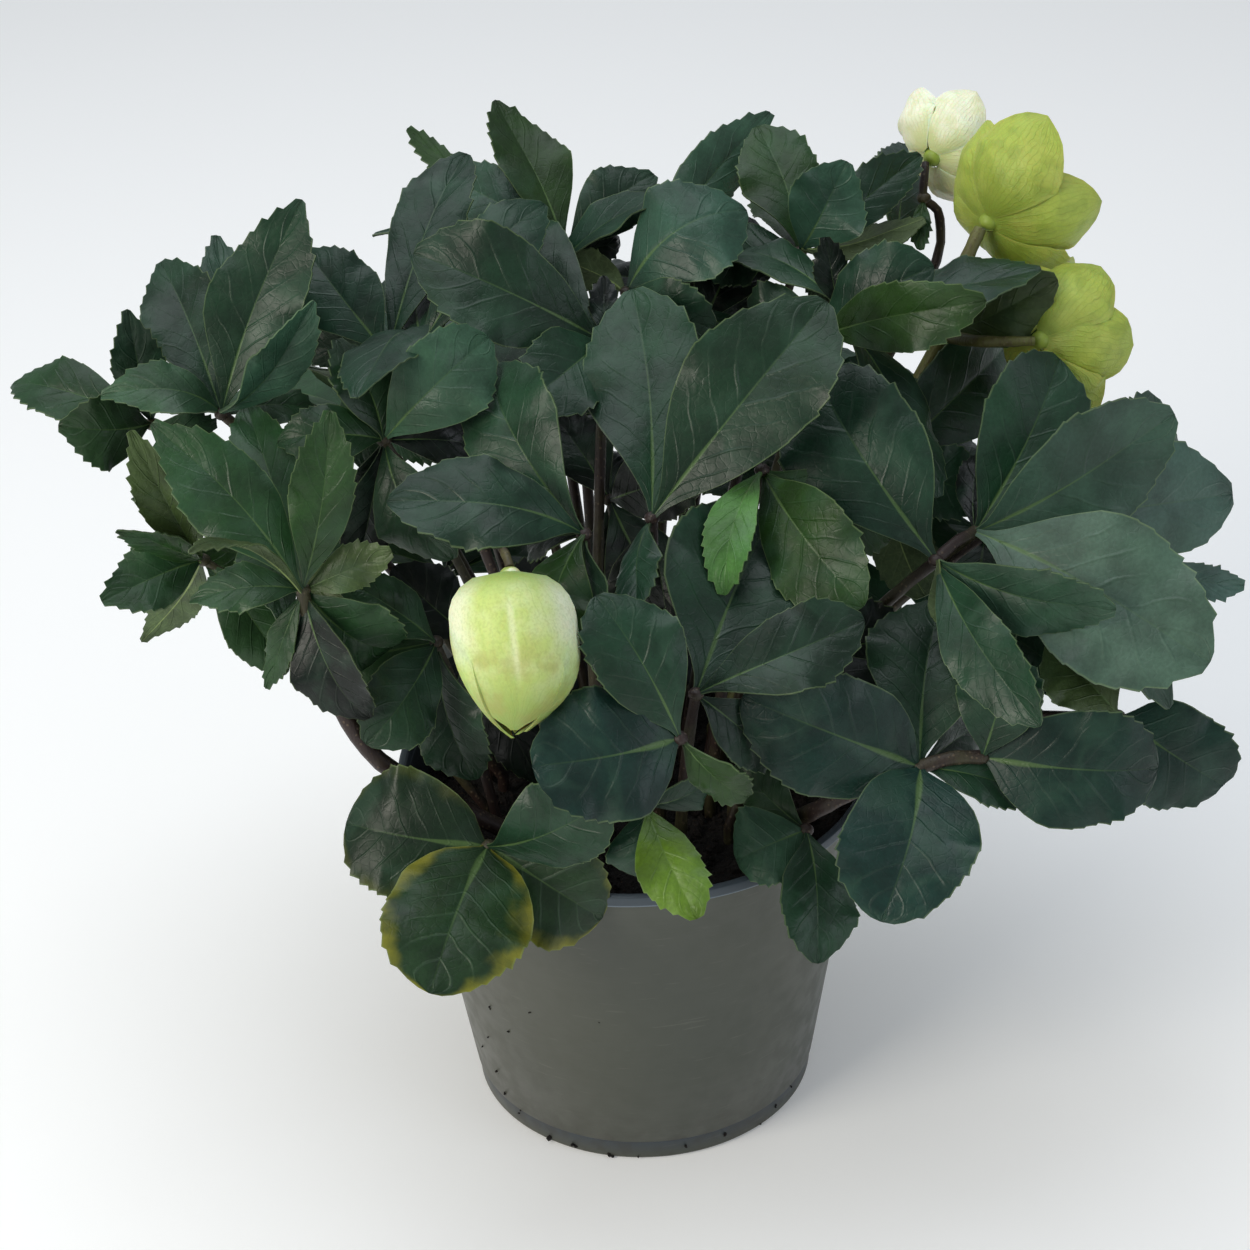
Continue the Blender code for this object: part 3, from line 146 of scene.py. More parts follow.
# Every leaf in the photograph: name, stalk radius, stalk root on the soil (x, y), points the stalk
# passes, then its forks. A fork is where leaflets meet; each leaflet is
# (tip x, tip y, tip nearness, width, turn of its face, arch, fold, kind); it is dark where no kind is given.
# Picture points are pixels, nearness is mm towards the camera, turns are degrees.
LEAVES = [
    ("leaf_far_left", 2.0, (-48, 6), [], [((152, 424, 8), [
        (5, 380, -5, 23, 20, 8, 8), (58, 426, -16, 27, -20, 5, 8),
        (100, 446, 22, 13, 30, 3, 10, "young")])]),
    ("leaf_left_high", 2.2, (-40, 20), [], [((222, 414, 22), [
        (157, 254, -5, 31, 4, 4, 16), (303, 203, -20, 34, -6, 5, 16), (214, 243, -32, 24, 10, 4, 10),
        (308, 296, 32, 24, 48, 6, 30, "pale"), (105, 398, 40, 21, 42, 12, 12, "pale")])]),
    ("leaf_left_low", 1.8, (-54, -12), [], [((203, 560, 18), [
        (106, 602, 32, 25, 12, 6, 12), (116, 522, 14, 14, -25, 3, 14, "young"),
        (136, 470, -8, 17, 20, 3, 12), (144, 638, 4, 17, 165, 4, 10, "under")])]),
    ("leaf_left_front", 3.0, (-36, -36), [(381, 762, 34), (318, 655, 50)], [((303, 590, 58), [
        (194, 602, 62, 18, 25, 7, 12, "pale"), (330, 410, 34, 22, 20, 4, 16, "young"),
        (243, 398, 20, 24, -10, 5, 14), (154, 430, 36, 30, 15, 8, 12), (396, 652, 86, 33, 6, 7, 10),
        (270, 685, 66, 11, 20, 4, 10), (324, 645, 52, 11, 20, 3, 10),
        (190, 540, 76, 12, 120, 6, 10, "under")])]),
    ("leaf_left_under", 1.7, (-48, -30), [], [((436, 642, 26), [
        (367, 748, 46, 27, -8, 7, 10), (288, 676, 10, 26, 10, 4, 8), (476, 778, 40, 27, 15, 6, 10),
        (335, 575, 0, 22, 10, 5, 10)])]),
    ("leaf_rim_left", 1.8, (-30, -54), [], [((488, 846, 44), [
        (340, 822, 40, 43, 4, 5, 6, "rim"), (430, 994, 32, 47, 4, 6, 6, "yellow"),
        (604, 920, 42, 37, 6, 6, 6, "yellow"), (612, 796, 74, 31, 18, 5, 8)])]),
    ("leaf_rim_middle", 1.7, (6, -52), [], [((646, 806, 62), [
        (638, 884, 62, 20, 20, 4, 10), (697, 919, 64, 21, -6, 5, 12, "fresh"),
        (720, 770, 60, 15, 30, 3, 10)])]),
    ("leaf_front_low", 1.9, (0, -40), [], [((680, 738, 86), [
        (536, 766, 96, 43, 4, 6, 8, "round"), (596, 594, 50, 31, -6, 6, 10),
        (749, 800, 82, 17, 25, 4, 14, "young")])]),
    ("leaf_front_right", 2.1, (14, -46), [], [((696, 694, 72), [
        (774, 510, 34, 55, 4, 6, 14), (862, 624, 64, 29, -24, 6, 12), (766, 756, 84, 22, -20, 5, 10)])]),
    ("leaf_rim_right", 2.0, (38, -42), [], [((806, 830, 30), [
        (732, 862, 36, 28, 14, 5, 8, "pale"), (814, 960, 44, 28, -6, 7, 10),
        (744, 770, 40, 17, 15, 4, 10, "young")])]),
    ("leaf_right_low", 3.0, (50, -30), [(812, 812, 26), (860, 788, 40)], [((920, 767, 50), [
        (742, 698, 56, 41, -6, 6, 8, "round"), (882, 922, 66, 43, 4, 7, 8, "round"),
        (942, 600, 26, 40, -8, 6, 14),
    ]), ((982, 757, 50), [
        (1164, 770, 54, 39, 8, 7, 8, "round"), (1012, 652, 24, 28, -10, 5, 12)])]),
    ("leaf_far_right_low", 1.8, (60, 0), [], [((1118, 716, 4), [
        (1222, 784, -4, 37, 8, 6, 8, "round"), (1050, 646, 4, 30, 15, 4, 12, "under"),
        (1162, 706, 14, 16, 70, 5, 12, "pale")])]),
    ("leaf_right_big", 2.4, (44, 8), [], [((975, 532, 26), [
        (1060, 358, -12, 40, 4, 6, 12), (1168, 412, -8, 42, 22, 6, 8), (1236, 494, 14, 43, 4, 7, 8),
        (1208, 664, 34, 54, 4, 8, 8),
    ]), ((936, 560, 40), [
        (812, 370, 26, 48, -4, 7, 14), (1116, 606, 66, 24, 30, 6, 12, "pale"),
        (1040, 726, 52, 24, 10, 6, 12), (978, 648, 46, 15, 150, 4, 10, "under")])]),
    ("leaf_right_edge", 1.8, (60, 18), [], [((1120, 560, -20), [
        (1247, 586, -24, 12, 10, 4, 8), (1190, 470, -40, 30, 10, 6, 10), (1150, 400, -44, 30, 0, 6, 10)])]),
    ("leaf_middle_high", 2.2, (8, -20), [], [((652, 518, 44), [
        (634, 298, 6, 42, -4, 5, 12), (826, 302, 12, 46, 4, 6, 12), (644, 612, 70, 17, 30, 4, 12)])]),
    ("leaf_middle_left", 2.2, (-12, -28), [], [((584, 534, 60), [
        (394, 508, 72, 35, 16, 14, 12), (486, 362, 34, 37, -10, 8, 14), (618, 664, 66, 18, 30, 5, 10),
        (546, 650, 44, 24, 20, 5, 10, "young")])]),
    ("leaf_middle_right", 1.9, (26, -12), [], [((762, 470, 40), [
        (892, 540, 30, 25, -20, 5, 14, "young"), (722, 594, 66, 17, 20, 6, 16, "bright"),
        (864, 606, 44, 33, 6, 7, 12, "young")])]),
    ("leaf_right_inner", 1.8, (34, -14), [], [((880, 470, 0), [
        (924, 600, 16, 24, 160, 5, 10, "under"), (1018, 336, -30, 36, 6, 5, 10),
        (872, 352, -34, 32, 6, 5, 10), (978, 500, -6, 26, 6, 5, 10)])]),
    ("leaf_upper_left_big", 2.1, (-14, 4), [], [((604, 342, 0), [
        (412, 252, 16, 38, 10, 11, 10), (520, 410, 28, 30, 20, 8, 10), (492, 208, -44, 26, 8, 6, 10)])]),
    ("leaf_left_tall", 2.0, (-26, 8), [], [((388, 356, 4), [
        (466, 148, -30, 27, -16, 5, 14), (304, 248, -8, 31, 8, 6, 12), (360, 470, 30, 24, 20, 6, 10)])]),
    ("leaf_left_inner", 1.9, (-28, -10), [], [((384, 440, 32), [
        (494, 332, 40, 31, 20, 14, 12, "pale"), (274, 440, 44, 24, 20, 6, 10),
        (452, 560, 40, 26, 10, 8, 10), (336, 346, 4, 26, 14, 5, 12)])]),
    ("leaf_top_left", 2.0, (-10, 24), [], [((566, 250, -40), [
        (450, 182, -30, 28, 24, 8, 10, "pale"), (494, 108, -44, 27, 8, 4, 14, "young"),
        (408, 130, -66, 11, 8, 4, 10, "young"), (655, 172, -58, 25, -6, 4, 10)])]),
    ("leaf_top_middle", 2.0, (4, 20), [], [((627, 292, -14), [
        (750, 204, -2, 42, -22, 12, -8, "pale"), (772, 110, -66, 22, 0, 4, 10, "pale"),
        (566, 262, 8, 15, 150, 4, 10, "under"), (716, 330, 4, 26, 20, 7, 10)])]),
    ("leaf_top_right", 2.0, (18, 22), [], [((800, 252, -30), [
        (758, 134, -50, 30, 10, 6, 12, "young"), (844, 164, -62, 30, 8, 5, 12, "pale"),
        (714, 274, -8, 25, 30, 8, 12), (920, 214, -40, 17, 140, 6, 12, "under")])]),
    ("leaf_high_right", 2.1, (26, 8), [], [((822, 336, -6), [
        (934, 266, -16, 34, -20, 9, 12), (982, 302, 8, 24, 25, 8, 14, "young"),
        (740, 330, -8, 32, 10, 7, 10),
    ]), ((893, 258, -37), [
        (906, 137, -54, 24, 6, 3, 14)])]),
    # The inner leaves are nearly black: painted shade deep in the clump
    ("leaf_inner_left", 1.8, (-18, -14), [], [((474, 640, -6), [
        (398, 572, -18, 26, 6, 5, 10, "inner"), (430, 760, 14, 24, 10, 5, 10, "inner"),
        (540, 775, 24, 28, 10, 5, 10, "inner"), (556, 560, -10, 26, 6, 5, 10, "inner")])]),
    ("leaf_inner_middle", 1.8, (4, -6), [], [((610, 500, -16), [
        (556, 420, -30, 24, 6, 5, 10, "inner"), (700, 640, 10, 30, 6, 5, 10, "inner"),
        (600, 640, 10, 26, 6, 5, 10, "inner"), (706, 470, -24, 26, 6, 5, 10, "inner")])]),
    ("leaf_inner_right", 1.8, (32, -30), [], [((816, 650, 4), [
        (908, 640, 6, 32, 6, 5, 10, "inner"), (866, 744, 14, 30, 6, 5, 10, "inner"),
        (760, 600, -4, 26, 6, 5, 10, "inner")])]),
    ("leaf_inner_top", 1.8, (12, 8), [], [((700, 330, -48), [
        (650, 232, -60, 26, 6, 5, 10, "inner"), (750, 210, -66, 30, 6, 5, 10, "inner"),
        (620, 400, -30, 26, 6, 5, 10, "inner")])]),
]

# Leaves at the back and inside, placed by rule: forks lie on rings seen from above
BACK_RINGS = [
    # leaves, ring radius, fork height, first and last direction, leaflet length, root radius
    (6, 126.0, 212.0, 12.0, 168.0, 84.0, 54.0),
    (4, 90.0, 272.0, 33.0, 150.0, 80.0, 36.0),
    (2, 108.0, 170.0, 50.0, 130.0, 70.0, 64.0),
]
# The plant's outline in the photograph, which leaves placed by rule stay inside
OUTLINE = [
    (4, 372), (110, 352), (150, 250), (215, 232), (302, 195), (322, 240), (385, 235), (440, 150),
    (500, 108), (545, 145), (578, 215), (605, 165), (655, 165), (700, 140), (768, 105), (862, 180),
    (905, 130), (965, 82), (1015, 110), (1085, 200), (1130, 300), (1170, 405), (1242, 490),
    (1222, 660), (1232, 780), (1160, 812), (985, 830), (965, 905), (880, 925), (815, 962), (600, 905),
    (430, 998), (338, 860), (360, 740), (275, 690), (195, 630), (106, 615), (106, 510), (135, 462),
    (15, 402),
]
BACK_SPREAD = (0.0, 52.0, -52.0, 104.0, -104.0)
BACK_STALK = 2.0
BACK_ROOT_SHIFT = 6.0
BACK_FOLD = 10.0
BACK_HEADING_SWAY = 4.0
BACK_RADIUS_SWAY = 8.0
BACK_HEIGHT_SWAY = 12.0
BACK_SPREAD_SWAY = 8.0
BACK_SHORTER = 420.0
BACK_LENGTHS = (0.92, 1.06)
BACK_DROPS = (-26.0, 10.0)
BACK_RING_DROP = 4.0
BACK_WIDTHS = (0.42, 0.50)
BACK_ARCHES = (7.0, 13.0)

# Flower stems: name, radius, root, points passed, blooms with the passed point their branch leaves from,
# and leafy bracts with the passed point they stand on, each written like a leaflet
FLOWER_STEMS = [
    ("bud_stem", 1.9, (-20, -40), [(522, 650, 30), (482, 540, 50), (500, 545, 82)], [("bud", 2)], []),
    ("flower_stem_right", 3.0, (30, 34), [(944, 336, -22), (960, 276, -10)],
     [("bloom_large", 1), ("bloom_lower", 0)],
     [(0, (1058, 280, 4, 24, 10, 6, 10, "under")), (0, (1000, 262, -14, 14, 10, 4, 10))]),
    ("flower_stem_back", 1.9, (16, 44), [(924, 290, -52), (924, 198, -42)], [("bloom_pale", 1)],
     [(1, (920, 250, -34, 7, 10, 2, 10, "young"))]),
]

# Blooms: name, centre spot, direction it opens to, sepal length, width, opening angle, turn, kind
BLOOMS = [
    ("bloom_pale", (932, 158, -46), (0.60, 0.75, 0.10), 27.0, 24.0, 44.0, 40.0, "cream"),
    ("bloom_large", (988, 222, -11), (0.70, 0.68, 0.25), 40.0, 36.0, 44.0, 5.0, "lime"),
    ("bloom_lower", (1040, 340, 4), (0.60, 0.75, -0.30), 34.0, 32.0, 44.0, 40.0, "lime"),
]
LEAFLET_LAYERS = (0, 1, -1, 1.9, -1.9, 0.5, -0.5, 1.5)
RECEPTACLE_RADIUS = 3.6
NECTARY_COUNT = 10
CARPEL_COUNT = 4
STAMEN_COUNT = 34
# Each stamen leaves this far round from the one before, as seeds do in a head
STAMEN_TURN = 137.5
STEM_GAP = 0.8
STEM_FOOT = 1.1
STEM_TAPER = 0.35
BRANCH_SHARE = 0.72
BRANCH_KNEE = 0.6
BRANCH_BACK = 12.0

# Sepals of an open bloom: five, lapped in layers
SEPAL_COUNT = 5
SEPAL_LAYERS = (0, 2, 0, 2, 1)
SEPAL_LAYER_TILT = 3.0
SEPAL_LAYER_TIP = 1.4
SEPAL_BASE = 1.2
SEPAL_LAYER_BASE = 1.3
SEPAL_FACE_LEAN = 0.35
SEPAL_ARCH = 0.22
SEPAL_FOLD = -20.0

# The nodding bud: picture points of its top and tip, then its body and lapped sepals
BUD_TOP = (510, 572, 92)
BUD_TIP = (515, 738, 96)
BUD_HUB_GAP = 0.8

# Finer outline of the closed bud: where along, share of the radius
BUD_FINE_RADIUS = 19.6
BUD_FINE_PROFILE = ((0.0, 0.10), (0.015, 0.38), (0.05, 0.62), (0.12, 0.82), (0.22, 0.95), (0.34, 1.0),
                    (0.48, 0.995), (0.62, 0.92), (0.74, 0.77), (0.85, 0.54), (0.93, 0.30), (1.0, 0.02))
# How far the bud's lower half leans to the picture's right, in mm
BUD_LEAN = 2.2
BUD_THICK = 0.9
# Its sepals: heading from the front one, how far out it lies, half its span in degrees, its length share and
# how far its tip stands off
BUD_WRAPS = ((0.0, 0.9, 76.0, 0.955, 1.0), (112.0, 0.1, 66.0, 1.0, 0.4), (-112.0, 0.3, 66.0, 0.98, 0.0),
             (178.0, -0.5, 70.0, 0.97, 0.0), (-78.0, -0.3, 34.0, 0.965, 3.2))
BUD_SEPAL_OUTLINE = ((0.0, 0.85), (0.3, 1.0), (0.6, 1.0), (0.82, 0.88), (0.94, 0.66), (1.0, 0.30))

# Places where small leaflets show deep in the clump, as picture x, y and a kind that isn't dark; those of
# kind inner are nearly black, painted shade in the clump's gaps
DEEP_PLACES = (
    (877, 190), (415, 449), (144, 452, "under"), (196, 424), (329, 349),
    (481, 148, "pale"), (259, 636), (770, 224, "young"), (366, 482, "inner"), (1031, 650),
    (1082, 291, "young"), (605, 244, "inner"), (221, 553, "young"), (140, 524, "young"), (282, 412),
    (604, 302, "inner"), (316, 700), (359, 566, "under"), (448, 444, "inner"), (136, 350),
    (374, 264, "young"), (355, 700, "inner"), (1128, 702), (966, 736), (367, 523, "inner"),
    (488, 712, "inner"), (944, 206), (731, 311, "inner"), (121, 545, "bright"), (324, 580, "under"),
    (1109, 388), (615, 463, "inner"), (831, 264, "inner"), (544, 547, "inner"), (446, 146),
    (442, 650, "inner"), (993, 787), (170, 400), (470, 540, "inner"), (400, 600, "inner"),
    (690, 380, "inner"), (640, 600, "inner"), (560, 420, "inner"), (900, 420, "inner"), (980, 480, "inner"),
)
# How far in picture pixels a fork may lie from such a place, and the leaflet's share past it
DEEP_REACH = (34.0, 125.0)
DEEP_PAST = 1.55
DEEP_LONGEST = 150.0
DEEP_BEHIND = 7.0
DEEP_WIDTH = 0.46
DEEP_TURN = 12
DEEP_ARCH = 0.1
DEEP_FOLD = 12
DEEP_FORKS = 5

# Soil crumbs on the pot's outside: picture x, y and size in mm
CRUMBS = (
    (491, 1008, 0.7), (530, 1012, 0.6), (509, 1031, 0.5), (489, 1037, 0.5), (598, 1022, 0.4),
    (483, 1046, 0.6), (498, 1072, 0.7), (505, 1092, 0.8), (521, 1112, 0.8), (550, 1138, 1.3),
    (574, 1144, 1.1), (612, 1154, 1.2), (640, 1156, 0.7), (684, 1148, 1.2), (722, 1138, 1.3),
    (760, 1124, 0.8), (776, 1106, 0.7), (791, 1086, 0.6),
)

# Search for a crumb's place: steps towards the pot's middle, then steps in mm along the line of sight
WALL_STEPS = 40
INWARD_STEP = 1 / 60
RAY_START = 40.0
RAY_STEP = 0.25
RAY_STEPS = 800
CRUMB_LOWEST = 0.8

# Stage: floor colour, air light and lamps as (name, place in m, size in m, watts, colour)
FLOOR_CODE = "#f4f4f2"
FLOOR_GLOW = 0.14
AIR_STRENGTH = 0.45
LAMPS = (
    ("overhead_soft", (-0.2, 0.3, 1.6), 1.4, 13.0, "#eef3fa"),
    ("key_left", (-1.3, -1.0, 1.0), 0.9, 19.0, "#fff8ec"),
    ("fill_right", (1.4, -0.8, 0.7), 0.9, 4.0, "#eef3ff"),
)
SENSOR = 36.0
# Areas of the picture whose grown leaves differ: left, top, right, bottom, colour and how far they go to it.
# The greyer, lighter areas at the right middle and at the upper left are painted sheen; the others change
# the leaves' hue or darken them
LEAF_HUE_AND_SHEEN_AREAS = (
    (0, 380, 440, 700, "#24401d", 0.6), (1050, 450, 1250, 660, "#4c6659", 0.7),
    (690, 640, 800, 760, "#0b1c17", 0.6), (250, 740, 470, 1000, "#0e2110", 0.6),
    (560, 230, 700, 370, "#0d2016", 0.6), (480, 700, 600, 830, "#10231b", 0.5),
    (690, 120, 800, 210, "#1f3a18", 0.7), (90, 180, 260, 330, "#35503a", 0.5),
)
AREA_FADE = 40.0
# Leaflets with their tips left of this x, or above this y, are pointed
POINTED_BEFORE = (420.0, 215.0)
POINTED_FADE = (120.0, 80.0)
POT_MIDDLE = (645.0, 1010.0)

rng = random.Random(SEED)


def camera_axes():
    """Right, up and towards-the-camera directions of the photograph."""
    forward = Vector((0.0, math.cos(CAMERA_TILT), -math.sin(CAMERA_TILT)))
    level = Vector((1.0, 0.0, 0.0))
    rise = level.cross(forward)
    turn_cos = math.cos(CAMERA_ROLL)
    turn_sin = math.sin(CAMERA_ROLL)
    right = level * turn_cos + rise * turn_sin
    up = rise * turn_cos - level * turn_sin
    return right, up, -forward


RIGHT, UP, TOWARD = camera_axes()
CAMERA = AIM + TOWARD * CAMERA_DISTANCE


def spot(x, y, near):
    """The place that shows at picture point x, y and lies `near` mm before the aim's plane."""
    ray = RIGHT * ((x - PICTURE_MIDDLE) / LENS_PIXELS) + UP * ((PICTURE_MIDDLE - y) / LENS_PIXELS) - TOWARD
    return CAMERA + ray * (CAMERA_DISTANCE - near)


def picture_point(place):
    """Where a place shows in the photograph, in pixels."""
    offset = place - CAMERA
    depth = -offset.dot(TOWARD)
    x = PICTURE_MIDDLE + LENS_PIXELS * offset.dot(RIGHT) / depth
    y = PICTURE_MIDDLE - LENS_PIXELS * offset.dot(UP) / depth
    return x, y


def inside_outline(place):
    x, y = picture_point(place)
    inside = False
    for (x1, y1), (x2, y2) in zip(OUTLINE, OUTLINE[1:] + OUTLINE[:1]):
        if (y1 > y) != (y2 > y) and x < (x2 - x1) * (y - y1) / (y2 - y1) + x1:
            inside = not inside
    return inside


def strips(names, side):
    """Triangles between the midrib and one edge of a blade, both ending in the tip."""
    found = []
    m = 0
    k = 0
    tip = names[f"m{len(MIDRIB)}"]
    while k < len(side) - 1 or m < len(MIDRIB) - 1:
        middle = names[f"m{m}"]
        edge = names[f"s{k}"]
        next_edge = side[k + 1][0] if k < len(side) - 1 else 2.0
        next_middle = MIDRIB[m + 1] if m < len(MIDRIB) - 1 else 2.0
        if next_edge <= next_middle:
            found.append((middle, edge, names[f"s{k + 1}"]))
            k += 1
        else:
            found.append((middle, edge, names[f"m{m + 1}"]))
            m += 1
    found.append((names[f"m{m}"], names[f"s{k}"], tip))
    return found


class Blade:
    """One leaflet or sepal: a curved surface from a base to a tip, with an upper face."""

    def __init__(self, base, tip, width, face, arch, fold, side, phase):
        self.base = base
        self.tip = tip
        self.width = width
        self.arch = arch
        self.fold = math.radians(fold)
        self.side = side
        self.phase = phase
        chord = (tip - base).normalized()
        self.face = (face - chord * face.dot(chord)).normalized()
        self.bend = (base + tip) / 2 + self.face * (2 * arch)

    def place(self, along, across):
        """A point of the surface: `along` 0 to 1 from base to tip, `across` in mm from the midrib."""
        keep = 1 - along
        centre = self.base * (keep * keep) + self.bend * (2 * keep * along) + self.tip * (along * along)
        run = ((self.bend - self.base) * keep + (self.tip - self.bend) * along).normalized()
        sideways = run.cross(self.face).normalized()
        up = sideways.cross(run)
        share = abs(across) / self.width * 2
        offset = WAVE_OFFSET if across > 0 else 0.0
        wave = WAVE_HEIGHT * share * math.sin(WAVE_TURNS * along + self.phase + offset)
        rise = abs(across) * math.sin(self.fold)
        if self.side is not SEPAL_SIDE:
            rise += wave
        return centre + sideways * (across * math.cos(self.fold)) + up * rise

    def surface(self, grow=0.0):
        names = {}
        points = []
        for i, along in enumerate(MIDRIB):
            names[f"m{i}"] = len(points)
            points.append(self.place(along, 0.0))
        names[f"m{len(MIDRIB)}"] = len(points)
        points.append(self.place(1.0, 0.0))
        faces = []
        for sign in (1, -1):
            for i, (along, share) in enumerate(self.side):
                names[f"s{i}"] = len(points)
                across = share * self.width / 2 + grow
                points.append(self.place(along, sign * across))
            for corner in strips(names, self.side):
                faces.append(tuple(corner if sign > 0 else reversed(corner)))
        return points, faces

    def skin(self, lift):
        points, faces = self.surface(lift)
        normals = [Vector() for _ in points]
        for a, b, c in faces:
            normal = (points[b] - points[a]).cross(points[c] - points[a])
            for corner in (a, b, c):
                normals[corner] += normal
        normals = [n.normalized() if n.length else Vector((0, 0, 1)) for n in normals]
        count = len(points)
        shell = [p + n * lift for p, n in zip(points, normals)]
        shell += [p - n * lift for p, n in zip(points, normals)]
        both = list(faces) + [(c + count, b + count, a + count) for a, b, c in faces]
        rim = {}
        for face in faces:
            for start, end in zip(face, face[1:] + face[:1]):
                if (end, start) in rim:
                    rim.pop((end, start))
                else:
                    rim[(start, end)] = True
        for start, end in rim:
            both.append((end, start, start + count))
            both.append((end, start + count, end + count))
        return shell, both


class Placed:
    """Everything set so far: blades as search trees, stalks as rows of small spheres."""

    def __init__(self):
        self.blades = []
        self.owners = []
        self.beads = np.zeros((0, 4))
        self.bead_owner = np.zeros(0, int)

    def number(self, owner):
        if owner not in self.owners:
            self.owners.append(owner)
        return self.owners.index(owner)

    def add_blade(self, owner, blade):
        self.add_skin(owner, *blade.skin(BLADE_THICK / 2))

    def add_skin(self, owner, points, faces):
        corners = np.array(points)
        tree = BVHTree.FromPolygons(points, faces)
        self.blades.append((owner, corners.min(axis=0), corners.max(axis=0), tree))

    def add_stalk(self, owner, path, radii):
        beads = stalk_beads(path, radii, BLADE_BEADS)
        self.beads = np.concatenate([self.beads, beads])
        self.bead_owner = np.concatenate([self.bead_owner, np.full(len(beads), self.number(owner))])

    def blade_trouble(self, owner, blade, stop_at=WORST):
        """How many other things the blade would touch; its own leaf counts a little."""
        points, faces = blade.skin(BLADE_THICK / 2 + CLEARANCE)
        corners = np.array(points)
        low = corners.min(axis=0)
        high = corners.max(axis=0)
        tree = BVHTree.FromPolygons(points, faces)
        trouble = 0.0
        reach = self.beads[:, 3:4] + CLEARANCE
        near = np.all((self.beads[:, :3] > low - reach) & (self.beads[:, :3] < high + reach), axis=1)
        near &= self.bead_owner != self.number(owner)
        for bead in self.beads[near]:
            if tree.find_nearest(Vector(bead[:3]), bead[3] + CLEARANCE)[0] is not None:
                trouble += STALK_HIT
                if trouble > stop_at:
                    return trouble
        for other, other_low, other_high, other_tree in self.blades:
            if np.any(low > other_high) or np.any(high < other_low):
                continue
            hits = len(tree.overlap(other_tree))
            if hits:
                trouble += BLADE_HIT if other != owner else OWN_HIT * min(hits, OWN_HITS)
                if trouble > stop_at:
                    return trouble
        return trouble

    def stalk_trouble(self, owner, path, radii):
        beads = stalk_beads(path, radii, STALK_BEADS)
        others = self.beads[self.bead_owner != self.number(owner)]
        trouble = 0
        if len(others):
            apart = np.linalg.norm(beads[:, None, :3] - others[None, :, :3], axis=2)
            trouble += int((apart < beads[:, 3:4] + others[None, :, 3] + CLEARANCE + STALK_APART).sum())
        for other, low, high, tree in self.blades:
            reach = beads[:, 3:4] + CLEARANCE
            near = np.all((beads[:, :3] > low - reach) & (beads[:, :3] < high + reach), axis=1)
            for bead in beads[near]:
                if other != owner and tree.find_nearest(Vector(bead[:3]), bead[3] + CLEARANCE)[0] is not None:
                    trouble += 1
        return trouble


def stalk_beads(path, radii, step):
    """Spheres along a stalk: x, y, z and radius."""
    beads = []
    for start, end, first, last in zip(path, path[1:], radii, radii[1:]):
        count = max(1, int((end - start).length / step))
        for i in range(count + 1):
            share = i / count
            beads.append((*start.lerp(end, share), first + (last - first) * share))
    return np.array(beads)


def curve_points(points, steps):
    """A smooth path through the points, `steps` pieces between each two."""
    path = [points[0]]
    for i in range(len(points) - 1):
        before = points[max(i - 1, 0)]
        start = points[i]
        end = points[i + 1]
        after = points[min(i + 2, len(points) - 1)]
        for step in range(1, steps + 1):
            t = step / steps
            path.append((
                start * 2
                + (end - before) * t
                + (before * 2 - start * 5 + end * 4 - after) * (t * t)
                + (start * 3 - before - end * 3 + after) * (t * t * t)
            ) * 0.5)
    return path


def stalk_path(root, passed, end, bulge):
    """From its hole in the soil straight up a little, then out to the fork."""
    foot = Vector((root[0], root[1], SOIL_TOP - STEM_SINK))
    neck = Vector((root[0], root[1], SOIL_TOP + NECK_RISE))
    if passed:
        path = curve_points([neck] + passed + [end], 2)
    else:
        lift = end.z - neck.z
        knee = neck.lerp(end, KNEE_SHARE) + Vector((0, 0, KNEE_LIFT * lift)) + bulge
        path = []
        for step in range(STALK_BENDS + 1):
            t = step / STALK_BENDS
            path.append(neck * ((1 - t) ** 2) + knee * (2 * t * (1 - t)) + end * (t * t))
    return [foot] + path


def pot_skin():
    rings = (
        (POT_FOOT_RADIUS, 0.0),
        (wall_radius(POT_HEIGHT - LIP_HEIGHT), POT_HEIGHT - LIP_HEIGHT),
        (LIP_RADIUS, POT_HEIGHT - LIP_HEIGHT),
        (LIP_RADIUS, POT_HEIGHT),
        (POT_TOP_RADIUS - POT_WALL, POT_HEIGHT),
        (wall_radius(SOIL_TOP) - POT_WALL, SOIL_TOP),
    )
    points = []
    faces = []
    for ring, (radius, height) in enumerate(rings):
        for i in range(POT_SIDES):
            heading = 2 * math.pi * i / POT_SIDES
            points.append(Vector((radius * math.cos(heading), radius * math.sin(heading), height)))
            if ring:
                a = (ring - 1) * POT_SIDES + i
                b = (ring - 1) * POT_SIDES + (i + 1) % POT_SIDES
                faces.append((a, b, b + POT_SIDES))
                faces.append((a, b + POT_SIDES, a + POT_SIDES))
    return points, faces


def route_stalk(placed, holes, owner, radius, root, passed, end):
    """Finds a root and a bend that keep the stalk clear of everything set so far."""
    best = None
    for move in ROOT_SHIFTS:
        foot = (root[0] + move[0], root[1] + move[1])
        if math.hypot(*foot) > ROOT_LIMIT:
            continue
        room = radius * STALK_FOOT + 2 * HOLE_GAP + ROOT_APART
        if any(math.hypot(foot[0] - x, foot[1] - y) < room + other for x, y, other in holes):
            continue
        for bulge in BULGES:
            path = stalk_path(foot, passed, end, Vector((bulge[0], bulge[1], 0)))
            count = len(path) - 1
            radii = [radius * (STALK_FOOT - STALK_TAPER * i / count) for i in range(count + 1)]
            trouble = placed.stalk_trouble(owner, path, radii)
            if best is None or trouble < best[0]:
                best = (trouble, path, radii, foot)
            if trouble == 0 or passed:
                break
        if best[0] == 0:
            break
    _, path, radii, foot = best
    placed.add_stalk(owner, path, radii)
    holes.append((*foot, radii[0]))
    return path, radii


def turned(direction, axis, degrees):
    return Matrix.Rotation(math.radians(degrees), 3, axis) @ direction


